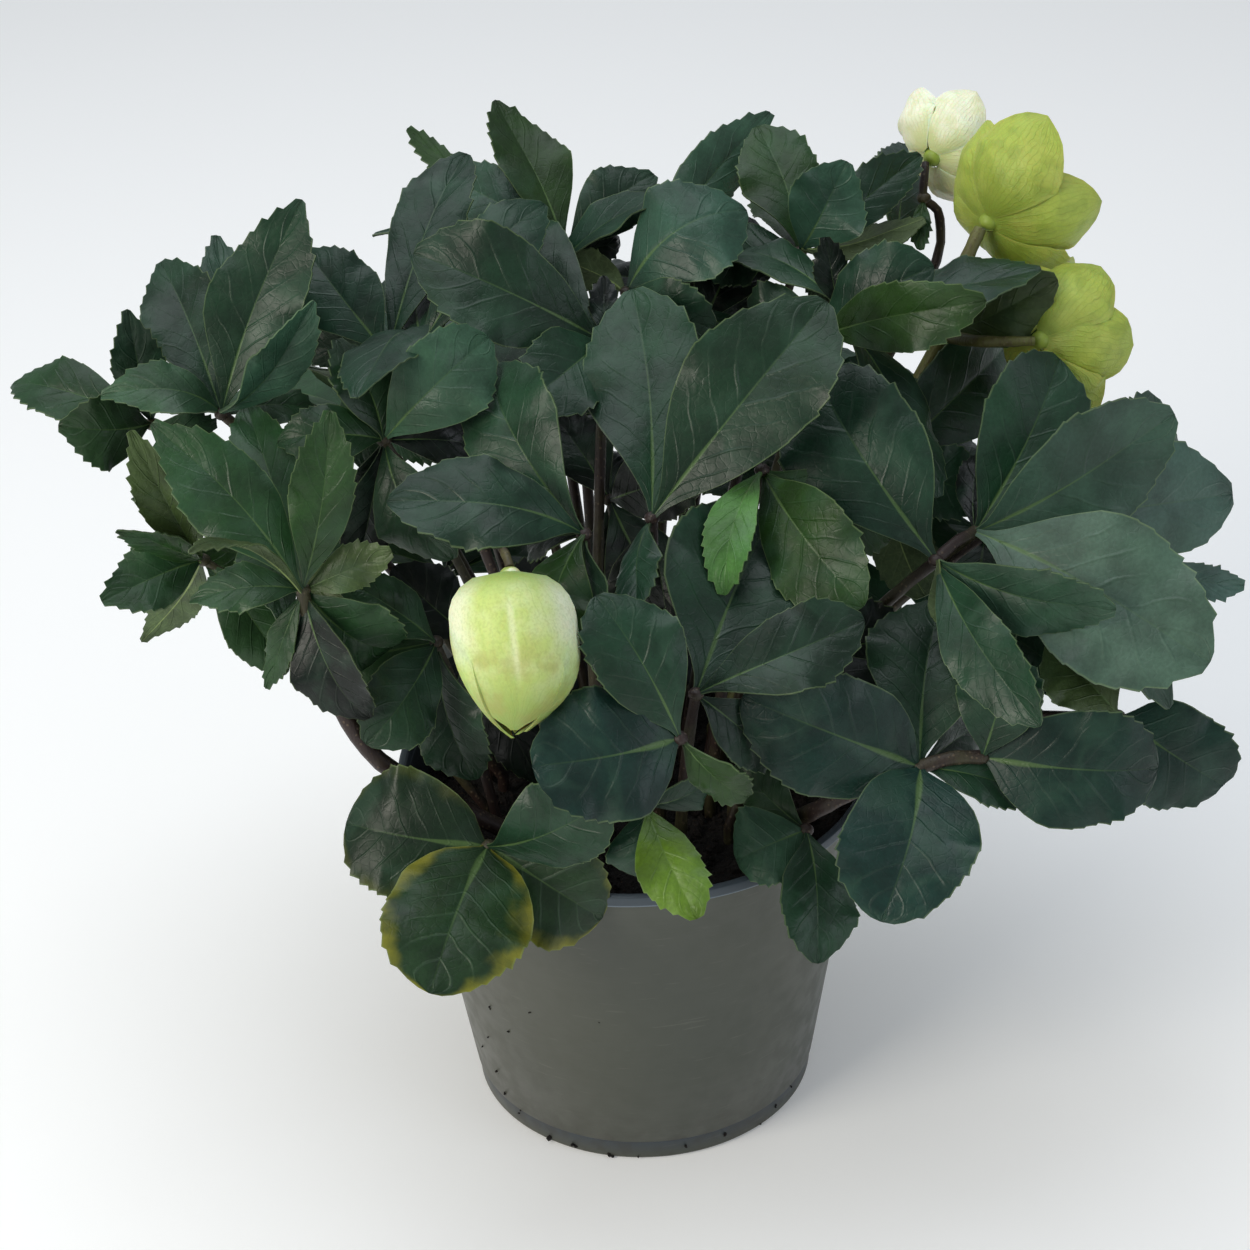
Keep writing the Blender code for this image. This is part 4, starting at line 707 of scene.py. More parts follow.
def fit_blade(placed, owner, make, must):
    """Tries the blade as planned, then bent a little clear; one that stays in the way is left out."""
    best = None
    for slim, bow in BLADE_SHAPES:
        for shift in TIP_SHIFTS:
            for turn in TURNS:
                blade = make(shift, turn, slim, bow)
                trouble = placed.blade_trouble(owner, blade, WORST if best is None else best[0])
                if not must and not all(inside_outline(p) for p in blade.surface()[0]):
                    trouble += OUTSIDE_COST
                cost = trouble + SHIFT_COST * abs(shift) + TURN_COST * abs(turn) + SLIM_COST * (1 - slim)
                if best is None or cost < best[0]:
                    best = (cost, trouble, blade)
                if trouble == 0:
                    break
            if best[1] == 0:
                break
        if best[1] < STALK_HIT:
            break
    if best[1] >= STALK_HIT and not must:
        return None
    placed.add_blade(owner, best[2])
    return best[2]


def side_for(kind):
    if kind == "inner":
        return BACK_SIDE
    return ROUND_SIDE if kind in ("rim", "yellow", "round") else LEAF_SIDE


def picture_leaflet(hub, leaflet, phase, layer=0):
    x, y, near, width, turn, arch, fold, *kind = leaflet
    kind = kind[0] if kind else "dark"
    base = hub + TOWARD * (STAGGER * layer)

    def make(shift, extra, slim, bow):
        tip = spot(x, y, near + shift)
        chord = (tip - base).normalized()
        face = TOWARD - chord * TOWARD.dot(chord)
        face = turned(face, chord, turn + extra)
        blade = Blade(base, tip, width * slim, face, arch * bow, fold, side_for(kind), phase)
        blade.kind = kind
        return blade

    return make


def back_leaflet(hub, tip, width, arch, phase, layer):
    base = hub + Vector((0, 0, STAGGER * layer))

    def make(shift, extra, slim, bow):
        lifted = tip + Vector((0, 0, shift))
        chord = (lifted - base).normalized()
        face = turned(Vector((0, 0, 1)), chord, extra)
        blade = Blade(base, lifted, width * slim, face, arch * bow, BACK_FOLD, BACK_SIDE, phase)
        blade.kind = "dark"
        return blade

    return make


def level(heading):
    return Vector((math.cos(heading), math.sin(heading), 0.0))


def back_plan():
    """Forks and leaflets of the leaves that the photograph doesn't show."""
    plan = []
    for ring, (count, radius, height, first, last, length, root_radius) in enumerate(BACK_RINGS):
        for i in range(count):
            step = (last - first) * i / max(count - 1, 1)
            heading = math.radians(first + step + rng.uniform(-BACK_HEADING_SWAY, BACK_HEADING_SWAY))
            out = level(heading)
            reach = radius + rng.uniform(-BACK_RADIUS_SWAY, BACK_RADIUS_SWAY)
            fork = out * reach
            fork.z = height + rng.uniform(-BACK_HEIGHT_SWAY, BACK_HEIGHT_SWAY)
            root = out * root_radius + Vector((0, BACK_ROOT_SHIFT, 0))
            leaflets = []
            for spread in BACK_SPREAD:
                bearing = heading + math.radians(spread + rng.uniform(-BACK_SPREAD_SWAY, BACK_SPREAD_SWAY))
                reach = length * (1.0 - abs(spread) / BACK_SHORTER) * rng.uniform(*BACK_LENGTHS)
                drop = rng.uniform(*BACK_DROPS) - ring * BACK_RING_DROP
                tip = fork + level(bearing) * reach + Vector((0, 0, drop))
                width = reach * rng.uniform(*BACK_WIDTHS)
                leaflets.append((tip, width, rng.uniform(*BACK_ARCHES)))
            plan.append((f"leaf_back_{len(plan) + 1:02d}", BACK_STALK, (root.x, root.y), fork, leaflets))
    return plan


def wall_radius(height):
    """Outer radius of the pot's wall at this height."""
    share = (height - STEP_HEIGHT) / (POT_HEIGHT - STEP_HEIGHT)
    return POT_FOOT_RADIUS + STEP_DEPTH + (POT_TOP_RADIUS - POT_FOOT_RADIUS - STEP_DEPTH) * share


def on_wall(x, y):
    """The place on the pot's outer wall at picture point x, y, or the nearest one towards its middle."""
    for step in range(WALL_STEPS):
        share = INWARD_STEP * step
        px = x + (POT_MIDDLE[0] - x) * share
        py = y + (POT_MIDDLE[1] - y) * share
        for k in range(RAY_STEPS):
            place = spot(px, py, RAY_START - RAY_STEP * k)
            if CRUMB_LOWEST < place.z < POT_HEIGHT and math.hypot(place.x, place.y) < wall_radius(place.z):
                return place
    raise ValueError("that point isn't near the pot")


def bloom_blades(bloom):
    _, place, facing, length, width, opening, first, _ = bloom
    centre = spot(*place)
    facing = Vector(facing).normalized()
    side = facing.orthogonal().normalized()
    blades = []
    for k, layer in enumerate(SEPAL_LAYERS):
        out = turned(side, facing, first + 360 / SEPAL_COUNT * k)
        lean = math.radians(opening + SEPAL_LAYER_TILT * layer)
        reach = out * math.sin(lean) + facing * math.cos(lean)
        tip = centre + reach * length + out * (SEPAL_LAYER_TIP * layer)
        start = centre + out * (SEPAL_BASE + SEPAL_LAYER_BASE * layer)
        face = out - facing * SEPAL_FACE_LEAN
        blades.append(Blade(start, tip, width, face, length * SEPAL_ARCH, SEPAL_FOLD, SEPAL_SIDE, 0.0))
    return centre, facing, blades


def plan_flowers(placed, holes):
    """Blooms, then their stems: each bloom is (centre, facing, sepals, kind), each stem a dictionary."""
    blooms = {}
    top = spot(*BUD_TOP)
    ends = {"bud": top - (spot(*BUD_TIP) - top).normalized() * (BUD_HUB_GAP + STEM_GAP)}
    for bloom in BLOOMS:
        centre, facing, blades = bloom_blades(bloom)
        for blade in blades:
            placed.add_blade(bloom[0], blade)
        blooms[bloom[0]] = (centre, facing, blades, bloom[-1])
        ends[bloom[0]] = centre - facing * (RECEPTACLE_RADIUS + STEM_GAP)

    stems = []
    for name, radius, root, passed, names, bracts in FLOWER_STEMS:
        passed = [spot(*p) for p in passed]
        stem = {"name": name, "tubes": [], "hubs": [passed[k] for k, _ in bracts[:1]], "blades": []}
        for k, (bloom, fork) in enumerate(names):
            end = ends[bloom]
            share = 1.0
            if k == 0:
                path = stalk_path(root, passed, end, Vector())
            else:
                knee = passed[fork].lerp(end, BRANCH_KNEE) - blooms[bloom][1] * BRANCH_BACK
                path = curve_points([passed[fork], knee, end], 2)
                share = BRANCH_SHARE
            count = len(path) - 1
            radii = [radius * share * (STEM_FOOT - STEM_TAPER * i / count) for i in range(count + 1)]
            stem["tubes"].append((path, radii))
            placed.add_stalk(name, path, radii)
        holes.append((*root, radius * STEM_FOOT))
        for k, bract in bracts:
            make = picture_leaflet(passed[k], bract, rng.uniform(0, math.tau))
            stem["blades"].append(fit_blade(placed, name, make, True))
        stems.append(stem)
    return blooms, stems


def plan_plant():
    """Lays out every stem, bloom, stalk and blade so that none crosses another node."""
    placed = Placed()
    placed.add_skin("pot", *pot_skin())
    holes = []
    blooms, stems = plan_flowers(placed, holes)

    leaves = []
    for name, radius, root, passed, forks in LEAVES:
        end = spot(*forks[0][0])
        path, radii = route_stalk(placed, holes, name, radius, root, [spot(*p) for p in passed], end)
        leaf = {"name": name, "tubes": [(path, radii)], "hubs": [end], "blades": []}
        for place, _ in forks[1:]:
            other = spot(*place)
            branch = [end, end.lerp(other, 0.5) + Vector((0, 0, FORK_LIFT)), other]
            leaf["tubes"].append((branch, [radii[-1]] * 3))
            leaf["hubs"].append(other)
            placed.add_stalk(name, *leaf["tubes"][-1])
        leaves.append(leaf)

    back = back_plan()
    back_leaves = []
    for name, radius, root, fork, _ in back:
        path, radii = route_stalk(placed, holes, name, radius, root, [], fork)
        back_leaves.append({"name": name, "tubes": [(path, radii)], "hubs": [fork], "blades": []})

    for leaf, (name, _, _, _, forks) in zip(leaves, LEAVES):
        for hub, (_, leaflets) in zip(leaf["hubs"], forks):
            for k, leaflet in enumerate(leaflets):
                make = picture_leaflet(hub, leaflet, rng.uniform(0, math.tau), LEAFLET_LAYERS[k])
                blade = fit_blade(placed, name, make, leaflet[-1] != "inner")
                if blade:
                    leaf["blades"].append(blade)
    for leaf, (name, _, _, fork, leaflets) in zip(back_leaves, back):
        for k, (tip, width, arch) in enumerate(leaflets):
            make = back_leaflet(fork, tip, width, arch, rng.uniform(0, math.tau), LEAFLET_LAYERS[k])
            blade = fit_blade(placed, name, make, False)
            if blade:
                leaf["blades"].append(blade)
    return leaves + back_leaves, stems, blooms, placed


# Fine outlines of the blades: where along the blade, share of the half width
FINE_OUTLINES = {
    LEAF_SIDE: ((0.0, 0.05), (0.05, 0.08), (0.12, 0.21), (0.25, 0.54), (0.40, 0.85), (0.52, 0.99),
                (0.64, 1.02), (0.76, 0.93), (0.87, 0.70), (0.95, 0.38), (1.0, 0.02)),
    ROUND_SIDE: ((0.0, 0.06), (0.04, 0.12), (0.10, 0.42), (0.20, 0.72), (0.35, 0.95), (0.50, 1.02),
                 (0.66, 0.98), (0.80, 0.83), (0.90, 0.60), (0.96, 0.36), (1.0, 0.02)),
    BACK_SIDE: ((0.0, 0.05), (0.05, 0.08), (0.14, 0.28), (0.27, 0.60), (0.42, 0.90), (0.58, 1.02),
                (0.72, 0.95), (0.85, 0.70), (0.94, 0.38), (1.0, 0.02)),
    SEPAL_SIDE: ((0.0, 0.14), (0.08, 0.40), (0.22, 0.76), (0.40, 0.98), (0.55, 1.03), (0.70, 0.97),
                 (0.84, 0.77), (0.94, 0.46), (1.0, 0.02)),
}
POINTED_OUTLINE = ((0.0, 0.05), (0.05, 0.08), (0.12, 0.22), (0.25, 0.55), (0.38, 0.84), (0.50, 0.98),
                   (0.62, 0.95), (0.74, 0.78), (0.85, 0.52), (0.94, 0.24), (1.0, 0.015))
# Columns across a leaflet, from the midrib out, as shares of the half width
COLUMNS = (0.0, 0.04, 0.11, 0.25, 0.43, 0.61, 0.77, 0.90, 1.0)
# Rows along a leaflet: plain ones near its base, then a foot, a slope and a crest for each tooth
PLAIN_ROWS = (0.0, 0.03, 0.07, 0.12, 0.18, 0.25, 0.32, 0.39)
TOOTH_STEPS = (0.0, 0.50, 0.80)
TOOTH_HEIGHTS = (0.0, 0.55, 1.0)
TOOTH_REACH = 0.14
FIRST_TOOTH = 0.46
TEETH_START = (0.42, 0.72)
# Teeth on each side of a leaflet shorter than this many mm
TEETH = ((26.0, 5), (48.0, 7), (math.inf, 8))
TOOTH_RANGE = (0.25, 1.15)
SEPAL_ROWS = (0.0, 0.04, 0.10, 0.17, *(0.24 + 0.71 * k / 15 for k in range(16)), 0.975, 1.0)
VEIN_SLANT = 0.26
BLADE_EDGE_THICK = 0.5
CREASE = 1.3
# How far a leaflet strays from its plain curve, mm or degrees
EDGE_WAVE = 2.4
TIP_HOOK = 4.2
SWAY = 0.035
TWIST = 13.0
CURL = 0.19
WAVY_FROM = 18.0
# How far a sepal's edge ruffles and rolls back and its face dents, mm
RUFFLE = 1.3
SEPAL_ROLL = 2.0
SEPAL_DENT = 0.6
# Edges flatter than this are shaded smooth, and points nearer than this in m are merged
SMOOTH_ANGLE = math.radians(60)
MERGE_WITHIN = 1e-6
# How far a leaf of each kind has begun to yellow
FADING = {"yellow": 1.0, "rim": 0.22}


def length_property(name, description, default, least, most):
    return bpy.props.FloatProperty(
        name=name, description=description, default=default, min=least, max=most,
        unit="LENGTH", subtype="DISTANCE")


class HelleboreSizes(bpy.types.PropertyGroup):
    """Sizes that a user would change."""

    tooth_depth: length_property("Tooth depth", "How far the largest teeth stand out", 0.0014, 0.0, 0.004)
    pucker: length_property("Pucker", "How much the leaf swells between its side veins", 0.00028, 0.0, 0.002)
    midrib: length_property("Midrib", "How far the midrib stands out under the leaf", 0.00085, 0.0, 0.003)
    stamen_length: length_property("Stamen length", "Length of an open bloom's stamens", 0.011, 0.004, 0.02)
    wall: length_property("Pot wall", "Thickness of the pot's plastic", POT_WALL * MM, 0.0006, 0.004)


def to_linear(code):
    """Linear red, green and blue of an sRGB hex colour."""
    shares = (int(code[i:i + 2], 16) / 255 for i in (1, 3, 5))
    return tuple(c / 12.92 if c <= 0.04045 else ((c + 0.055) / 1.055) ** 2.4 for c in shares)


def colour_property(name, description, code):
    return bpy.props.FloatVectorProperty(
        name=name, description=description, default=to_linear(code), size=3, min=0.0, max=1.0,
        subtype="COLOR")


class HelleboreColours(bpy.types.PropertyGroup):
    """Colours that a user would change."""

    dark: colour_property("Grown leaf", "Upper side of a full-grown leaf", "#193422")
    round: colour_property("Rounded leaf", "Upper side of the broad rounded leaflets", "#153027")
    young: colour_property("Young leaf", "Upper side of a younger leaf", "#1e3812")
    # A new leaflet's lighter green with painted light shining through it from behind
    bright: colour_property("New leaf", "Upper side of the newest leaflets", "#42692f")
    fresh: colour_property("Freshest leaf", "The small leaflet that has just opened", "#57731f")
    pale: colour_property("Sheened leaf", "Leaflets that catch the light", "#2f4d3b")
    under: colour_property("Turned leaf", "Leaflets that show their underside", "#46562e")
    rim: colour_property("Ageing leaf", "Old leaves that hang over the rim", "#152c19")
    yellow: colour_property("Fading leaf", "Old leaves with yellow margins", "#1e361c")
    # Nearly black: painted shade deep in the clump
    inner: colour_property("Inner leaf", "Leaves deep in the clump", "#09140e")
    underside: colour_property("Underside", "Underside of every leaf", "#3f5034")
    margin: colour_property("Fading margin", "Yellowing margin of old leaves", "#7d7c28")
    stalk: colour_property("Leaf stalk", "Purple-brown leaf stalks", "#2c1f1b")
    stem: colour_property("Flower stem", "Olive flower stems", "#5c5b30")
    lime: colour_property("Lime sepal", "Sepals of the open lime blooms", "#a9bb4d")
    cream: colour_property("Cream sepal", "Sepals of the pale bloom and the bud", "#eef1cf")
    plastic: colour_property("Pot", "The pot's taupe plastic", "#464940")
    soil: colour_property("Soil", "Dark potting mix", "#17110e")


def sizes():
    return bpy.context.scene.hellebore_sizes


def colours():
    return bpy.context.scene.hellebore_colours


# Materials

def add_node(tree, kind, *inputs, output=0, **settings):
    """Adds a shader node and returns one of its outputs. Each input in turn is linked or set, and so is a
    setting that is named after an input; any other setting is one of the node's own properties."""
    made = tree.nodes.new("ShaderNode" + kind)
    named = []
    for name, value in settings.items():
        socket = made.inputs.get(name.replace("_", " "))
        if socket is None:
            setattr(made, name, value)
        else:
            named.append((socket, value))
    ready = [socket for socket in made.inputs if socket.enabled]
    for socket, value in [*zip(ready, inputs), *named]:
        if isinstance(value, bpy.types.NodeSocket):
            tree.links.new(value, socket)
        elif isinstance(value, tuple) and socket.type == "RGBA":
            socket.default_value = (*value, 1.0)
        elif value is not None:
            socket.default_value = value
    if isinstance(output, str):
        return made.outputs[output]
    return [socket for socket in made.outputs if socket.enabled][output]


MIX = {"data_type": "RGBA"}
TIMES = {"data_type": "RGBA", "blend_type": "MULTIPLY"}
SMOOTH = {"interpolation_type": "SMOOTHSTEP"}
MULTIPLY = {"operation": "MULTIPLY"}
MULTIPLY_ADD = {"operation": "MULTIPLY_ADD"}
ABSOLUTE = {"operation": "ABSOLUTE"}
MAXIMUM = {"operation": "MAXIMUM"}


def new_material(name, roughness, **settings):
    """A material, what adds nodes to it, its Principled shader and the place on the piece. Its IOR is 1.45,
    as for leaf wax, petals and most plastics."""
    made = bpy.data.materials.new(name)
    made.use_nodes = True
    add = functools.partial(add_node, made.node_tree)
    shader = made.node_tree.nodes["Principled BSDF"]
    shader.inputs["Roughness"].default_value = roughness
    shader.inputs["IOR"].default_value = 1.45
    for key, value in settings.items():
        shader.inputs[key.replace("_", " ")].default_value = value
    return made, add, shader, add("TexCoord", output="Object")


def per_mm(size):
    """Scale of a pattern whose features are about this many millimetres across."""
    return 1000.0 / size


def mottle(add, place, size, detail, *span, **settings):
    """Soft clouds about this many mm across, brought to the range in `span`: from low, high to low, high."""
    noise = add("TexNoise", place, Scale=per_mm(size), Detail=detail, **settings)
    return add("MapRange", noise, *span, **SMOOTH)


def coats(add, base, *layers):
    """Colours laid one over another: each layer is how far it covers and its colour."""
    for share, paint in layers:
        paint = to_linear(paint) if isinstance(paint, str) else tuple(paint)
        base = add("Mix", share, base, paint, **MIX)
    return base


def blade_places(add):
    """Where a point lies on its blade: along it, across it as 0 to 1 and -1 to 1, and off its midrib."""
    flat = add("UVMap", uv_map="UVMap")
    along = add("SeparateXYZ", flat, output="X")
    across = add("SeparateXYZ", flat, output="Y")
    signed = add("Math", across, 2.0, -1.0, **MULTIPLY_ADD)
    return along, across, signed, add("Math", signed, **ABSOLUTE)


def wire_shader(add, shader, base, relief, depth, strength, rough=None):
    """Wires the colour, the relief with its depth in mm, and a roughness that varies, to the shader."""
    relief = add("Bump", Height=relief, Distance=depth * MM, Strength=strength)
    for name, value in (("Base Color", base), ("Normal", relief), ("Roughness", rough)):
        if value is not None:
            shader.id_data.links.new(value, shader.inputs[name])


def leaf_material():
    """Living leaf with a waxy skin, so a broad satin sheen: side veins pressed in, a pale midrib that fades
    towards the tip, cloudy patches of painted sheen; the underside is paler, olive and duller."""
    made, add, shader, place = new_material("leaf_blade_waxy", 0.42, Specular_IOR_Level=0.36)
    along, _, _, off = blade_places(add)
    upper, fading, pairs = (
        add("Attribute", attribute_name=name, output="Fac") for name in ("upper", "fading", "vein_count"))
    tint = add("Attribute", attribute_name="leaf_tint", output="Color")

    # Side veins run forward from the midrib, wander a little and come and go: about 9 mm apart
    stray = add("TexNoise", place, Scale=per_mm(13.0), Detail=1.0)
    stray = add("Math", stray, 0.07, along, **MULTIPLY_ADD)
    slant = add("Math", off, -VEIN_SLANT, stray, **MULTIPLY_ADD)
    phase = add("Math", slant, pairs, **MULTIPLY)
    phase = add("Math", phase, operation="FRACT")
    phase = add("Math", phase, 0.5, operation="SUBTRACT")
    phase = add("Math", phase, **ABSOLUTE)
    vein = add("MapRange", phase, 0.41, 0.5, 0.0, 1.0, **SMOOTH)
    outer = add("MapRange", off, 1.0, 0.45, 0.0, 1.0, **SMOOTH)
    vein = add("Math", vein, outer, **MULTIPLY)
    vein = add("Math", vein, mottle(add, place, 9.0, 2.0, 0.38, 0.62, 0.45, 1.0), **MULTIPLY)
    # The midrib is about 1 mm wide at the base and a hairline at the tip
    rib_width = add("MapRange", along, 0.0, 0.45, 0.16, 0.022, **SMOOTH)
    rib = add("Math", off, rib_width, operation="DIVIDE")
    rib = add("MapRange", rib, 1.0, 0.35, 0.0, 1.0, **SMOOTH)
    net = add("TexVoronoi", place, Scale=per_mm(3.4), feature="DISTANCE_TO_EDGE")
    net = add("MapRange", net, 0.10, 0.0, 0.0, 1.0, **SMOOTH)

    # Cloudy light and dark over the leaf, and a fine fleck
    shade = mottle(add, place, 15.0, 4.0, 0.3, 0.7, 0.72, 1.24)
    shade = add("Math", shade, mottle(add, place, 1.2, 2.0, 0.35, 0.65, 0.92, 1.07), **MULTIPLY)
    shade = add("CombineColor", shade, shade, shade)
    top = add("Mix", 1.0, tint, shade, **TIMES)
    # Cloudy grey-green patches of painted sheen over the upper face
    painted_sheen = mottle(add, place, 19.0, 3.0, 0.47, 0.70, 0.0, 0.24, Distortion=0.6)
    vein_share = add("Math", fading, 0.12, 0.05, **MULTIPLY_ADD)
    vein_share = add("Math", vein, vein_share, **MULTIPLY)
    rib_share = add("MapRange", along, 0.85, 0.05, 0.10, 0.75, **SMOOTH)
    rib_share = add("Math", rib, rib_share, **MULTIPLY)
    # Old leaves turn yellow from the margin in, in patches
    patch = add("TexNoise", place, Scale=per_mm(11.0), Detail=3.0)
    patch = add("Math", patch, 0.9, off, **MULTIPLY_ADD)
    patch = add("MapRange", patch, 1.12, 1.62, 0.0, 1.0, **SMOOTH)
    patch = add("Math", patch, fading, **MULTIPLY)
    edge = add("MapRange", off, 0.970, 0.992, 0.0, 0.30, **SMOOTH)
    top = coats(add, top, (painted_sheen, "#3f5f4a"), (vein_share, "#5c7a5c"), (rib_share, "#56713f"),
                (patch, colours().margin), (edge, "#7f9460"))

    lines = add("Math", vein, net, **MAXIMUM)
    lines = add("Math", lines, 0.22, **MULTIPLY)
    under = coats(add, tint, (0.6, colours().underside), (lines, "#63744a"), (rib, "#74854f"))
    under = add("Mix", 1.0, under, shade, **TIMES)
    base = add("Mix", upper, under, top, **MIX)

    # Where the wax is rubbed the skin is smoother
    rough = add("MapRange", upper, 0.0, 1.0, 0.64, 0.38)
    rough = add("Math", rough, mottle(add, place, 7.0, 3.0, 0.3, 0.7, -0.06, 0.08), operation="ADD")
    grain = add("TexNoise", place, Scale=per_mm(4.5), Detail=3.0)
    relief = add("Math", vein, -0.7, grain, **MULTIPLY_ADD)
    relief = add("Math", net, -0.12, relief, **MULTIPLY_ADD)
    wire_shader(add, shader, base, relief, 0.35, 0.75, rough)
    return made


def stalk_material(name, colour, speckle_code, green_code):
    """Fleshy stalk: satin skin with fine length-wise streaks, pale pores 2 mm apart and a greener tinge."""
    made, add, shader, place = new_material(name, 0.5)
    drawn = add("Mapping", place, Scale=(1.0, 1.0, 0.12))
    streak = add("TexNoise", drawn, Scale=per_mm(0.9), Detail=3.0)
    tinge = mottle(add, place, 22.0, 2.0, 0.42, 0.62, 0.0, 0.45)
    dark = add("MapRange", streak, 0.45, 0.7, 0.0, 0.5, **SMOOTH)
    pores = add("TexVoronoi", place, Scale=per_mm(2.2), feature="F1")
    pores = add("MapRange", pores, 0.26, 0.16, 0.0, 1.0, **SMOOTH)
    pale = add("Math", pores, 0.30, **MULTIPLY)
    base = coats(add, tuple(colour), (tinge, green_code), (dark, speckle_code), (pale, "#7d6c55"))
    relief = add("Math", pores, 0.5, streak, **MULTIPLY_ADD)
    wire_shader(add, shader, base, relief, 0.3, 0.7)
    return made


def sepal_material(name, colour, heart_code, edge_code, vein_code):
    """Thin petal-like sepal: soft satin, fine veins that fan from its base 2 mm apart, a greener heart, a
    paler edge, and a little light that passes through it."""
    made, add, shader, place = new_material(name, 0.5, Subsurface_Weight=0.25, Subsurface_Scale=0.002)
    along, across, _, off = blade_places(add)
    stray = add("TexNoise", place, Scale=per_mm(8.0), Detail=2.0)
    fan = add("Math", stray, 0.16, across, **MULTIPLY_ADD)
    fan = add("Math", fan, 95.0, **MULTIPLY)
    fan = add("Math", fan, operation="SINE")
    vein = add("MapRange", fan, 0.55, 1.0, 0.0, 1.0, **SMOOTH)
    net = add("TexVoronoi", place, Scale=per_mm(2.4), feature="DISTANCE_TO_EDGE")
    net = add("MapRange", net, 0.10, 0.0, 0.0, 0.6, **SMOOTH)
    lines = add("Math", vein, net, **MAXIMUM)
    heart = add("MapRange", along, 0.60, 0.0, 0.0, 0.75, **SMOOTH)
    rim = add("MapRange", off, 0.80, 1.0, 0.0, 0.6, **SMOOTH)
    share = add("Math", lines, 0.20, **MULTIPLY)
    base = coats(add, tuple(colour), (heart, heart_code),
                 (mottle(add, place, 13.0, 3.0, 0.42, 0.68, 0.0, 0.55), edge_code),
                 (mottle(add, place, 6.0, 4.0, 0.46, 0.66, 0.0, 0.35), vein_code),
                 (rim, edge_code), (share, vein_code))
    soft = add("TexNoise", place, Scale=per_mm(5.0), Detail=3.0)
    relief = add("Math", lines, -0.5, soft, **MULTIPLY_ADD)
    wire_shader(add, shader, base, relief, 0.35, 0.6)
    return made


def bud_material():
    """Closed sepals, satin and fleshy: white shoulders that are partly their own cream and partly a painted
    highlight, a lime body, a pale midline, faint green veins.
    """
    made, add, shader, place = new_material("bud_sepal", 0.46, Subsurface_Weight=0.2, Subsurface_Scale=0.002)
    along, _, across, off = blade_places(add)
    # Cream left at each sepal's upper shoulders: partly the sepals' own colour, partly a painted highlight
    green = add("MapRange", off, 0.80, 0.30, 0.04, 1.0, **SMOOTH)
    lower = add("MapRange", along, 0.32, 0.62, 0.0, 1.0, **SMOOTH)
    green = add("Math", green, lower, **MAXIMUM)
    cloud = mottle(add, place, 12.0, 3.0, 0.3, 0.7, 0.62, 1.1)
    green = add("Math", green, cloud, use_clamp=True, **MULTIPLY)
    tip = add("MapRange", along, 0.50, 1.0, 0.0, 0.85, **SMOOTH)
    flush = add("Math", mottle(add, place, 9.0, 4.0, 0.45, 0.65, 0.0, 0.5), lower, **MULTIPLY)
    # The pale midline stops short of the neck and of the tip
    middle = add("MapRange", off, 0.07, 0.0, 0.0, 0.65, **SMOOTH)
    for start, end in ((0.80, 0.5), (0.16, 0.30)):
        fade = add("MapRange", along, start, end, 0.0, 1.0, **SMOOTH)
        middle = add("Math", middle, fade, **MULTIPLY)
    stray = add("TexNoise", place, Scale=per_mm(7.0), Detail=2.0)
    fan = add("Math", stray, 0.35, across, **MULTIPLY_ADD)
    fan = add("Math", fan, 47.0, **MULTIPLY)
    fan = add("Math", fan, operation="SINE")
    vein = add("MapRange", fan, 0.4, 1.0, 0.0, 0.06, **SMOOTH)
    neck = add("MapRange", along, 0.22, 0.0, 0.0, 0.85, **SMOOTH)
    stipple = mottle(add, place, 0.9, 2.0, 0.4, 0.7, 0.0, 0.22)
    base = coats(add, tuple(colours().cream), (green, "#c6d87c"), (tip, "#869e45"), (flush, "#a5a05a"),
                 (middle, "#eef2c4"), (vein, "#8fae4c"), (neck, "#93ad4e"), (stipple, "#8fa050"))
    relief = add("Math", vein, -3.0, cloud, **MULTIPLY_ADD)
    wire_shader(add, shader, base, relief, 0.25, 0.6)
    return made


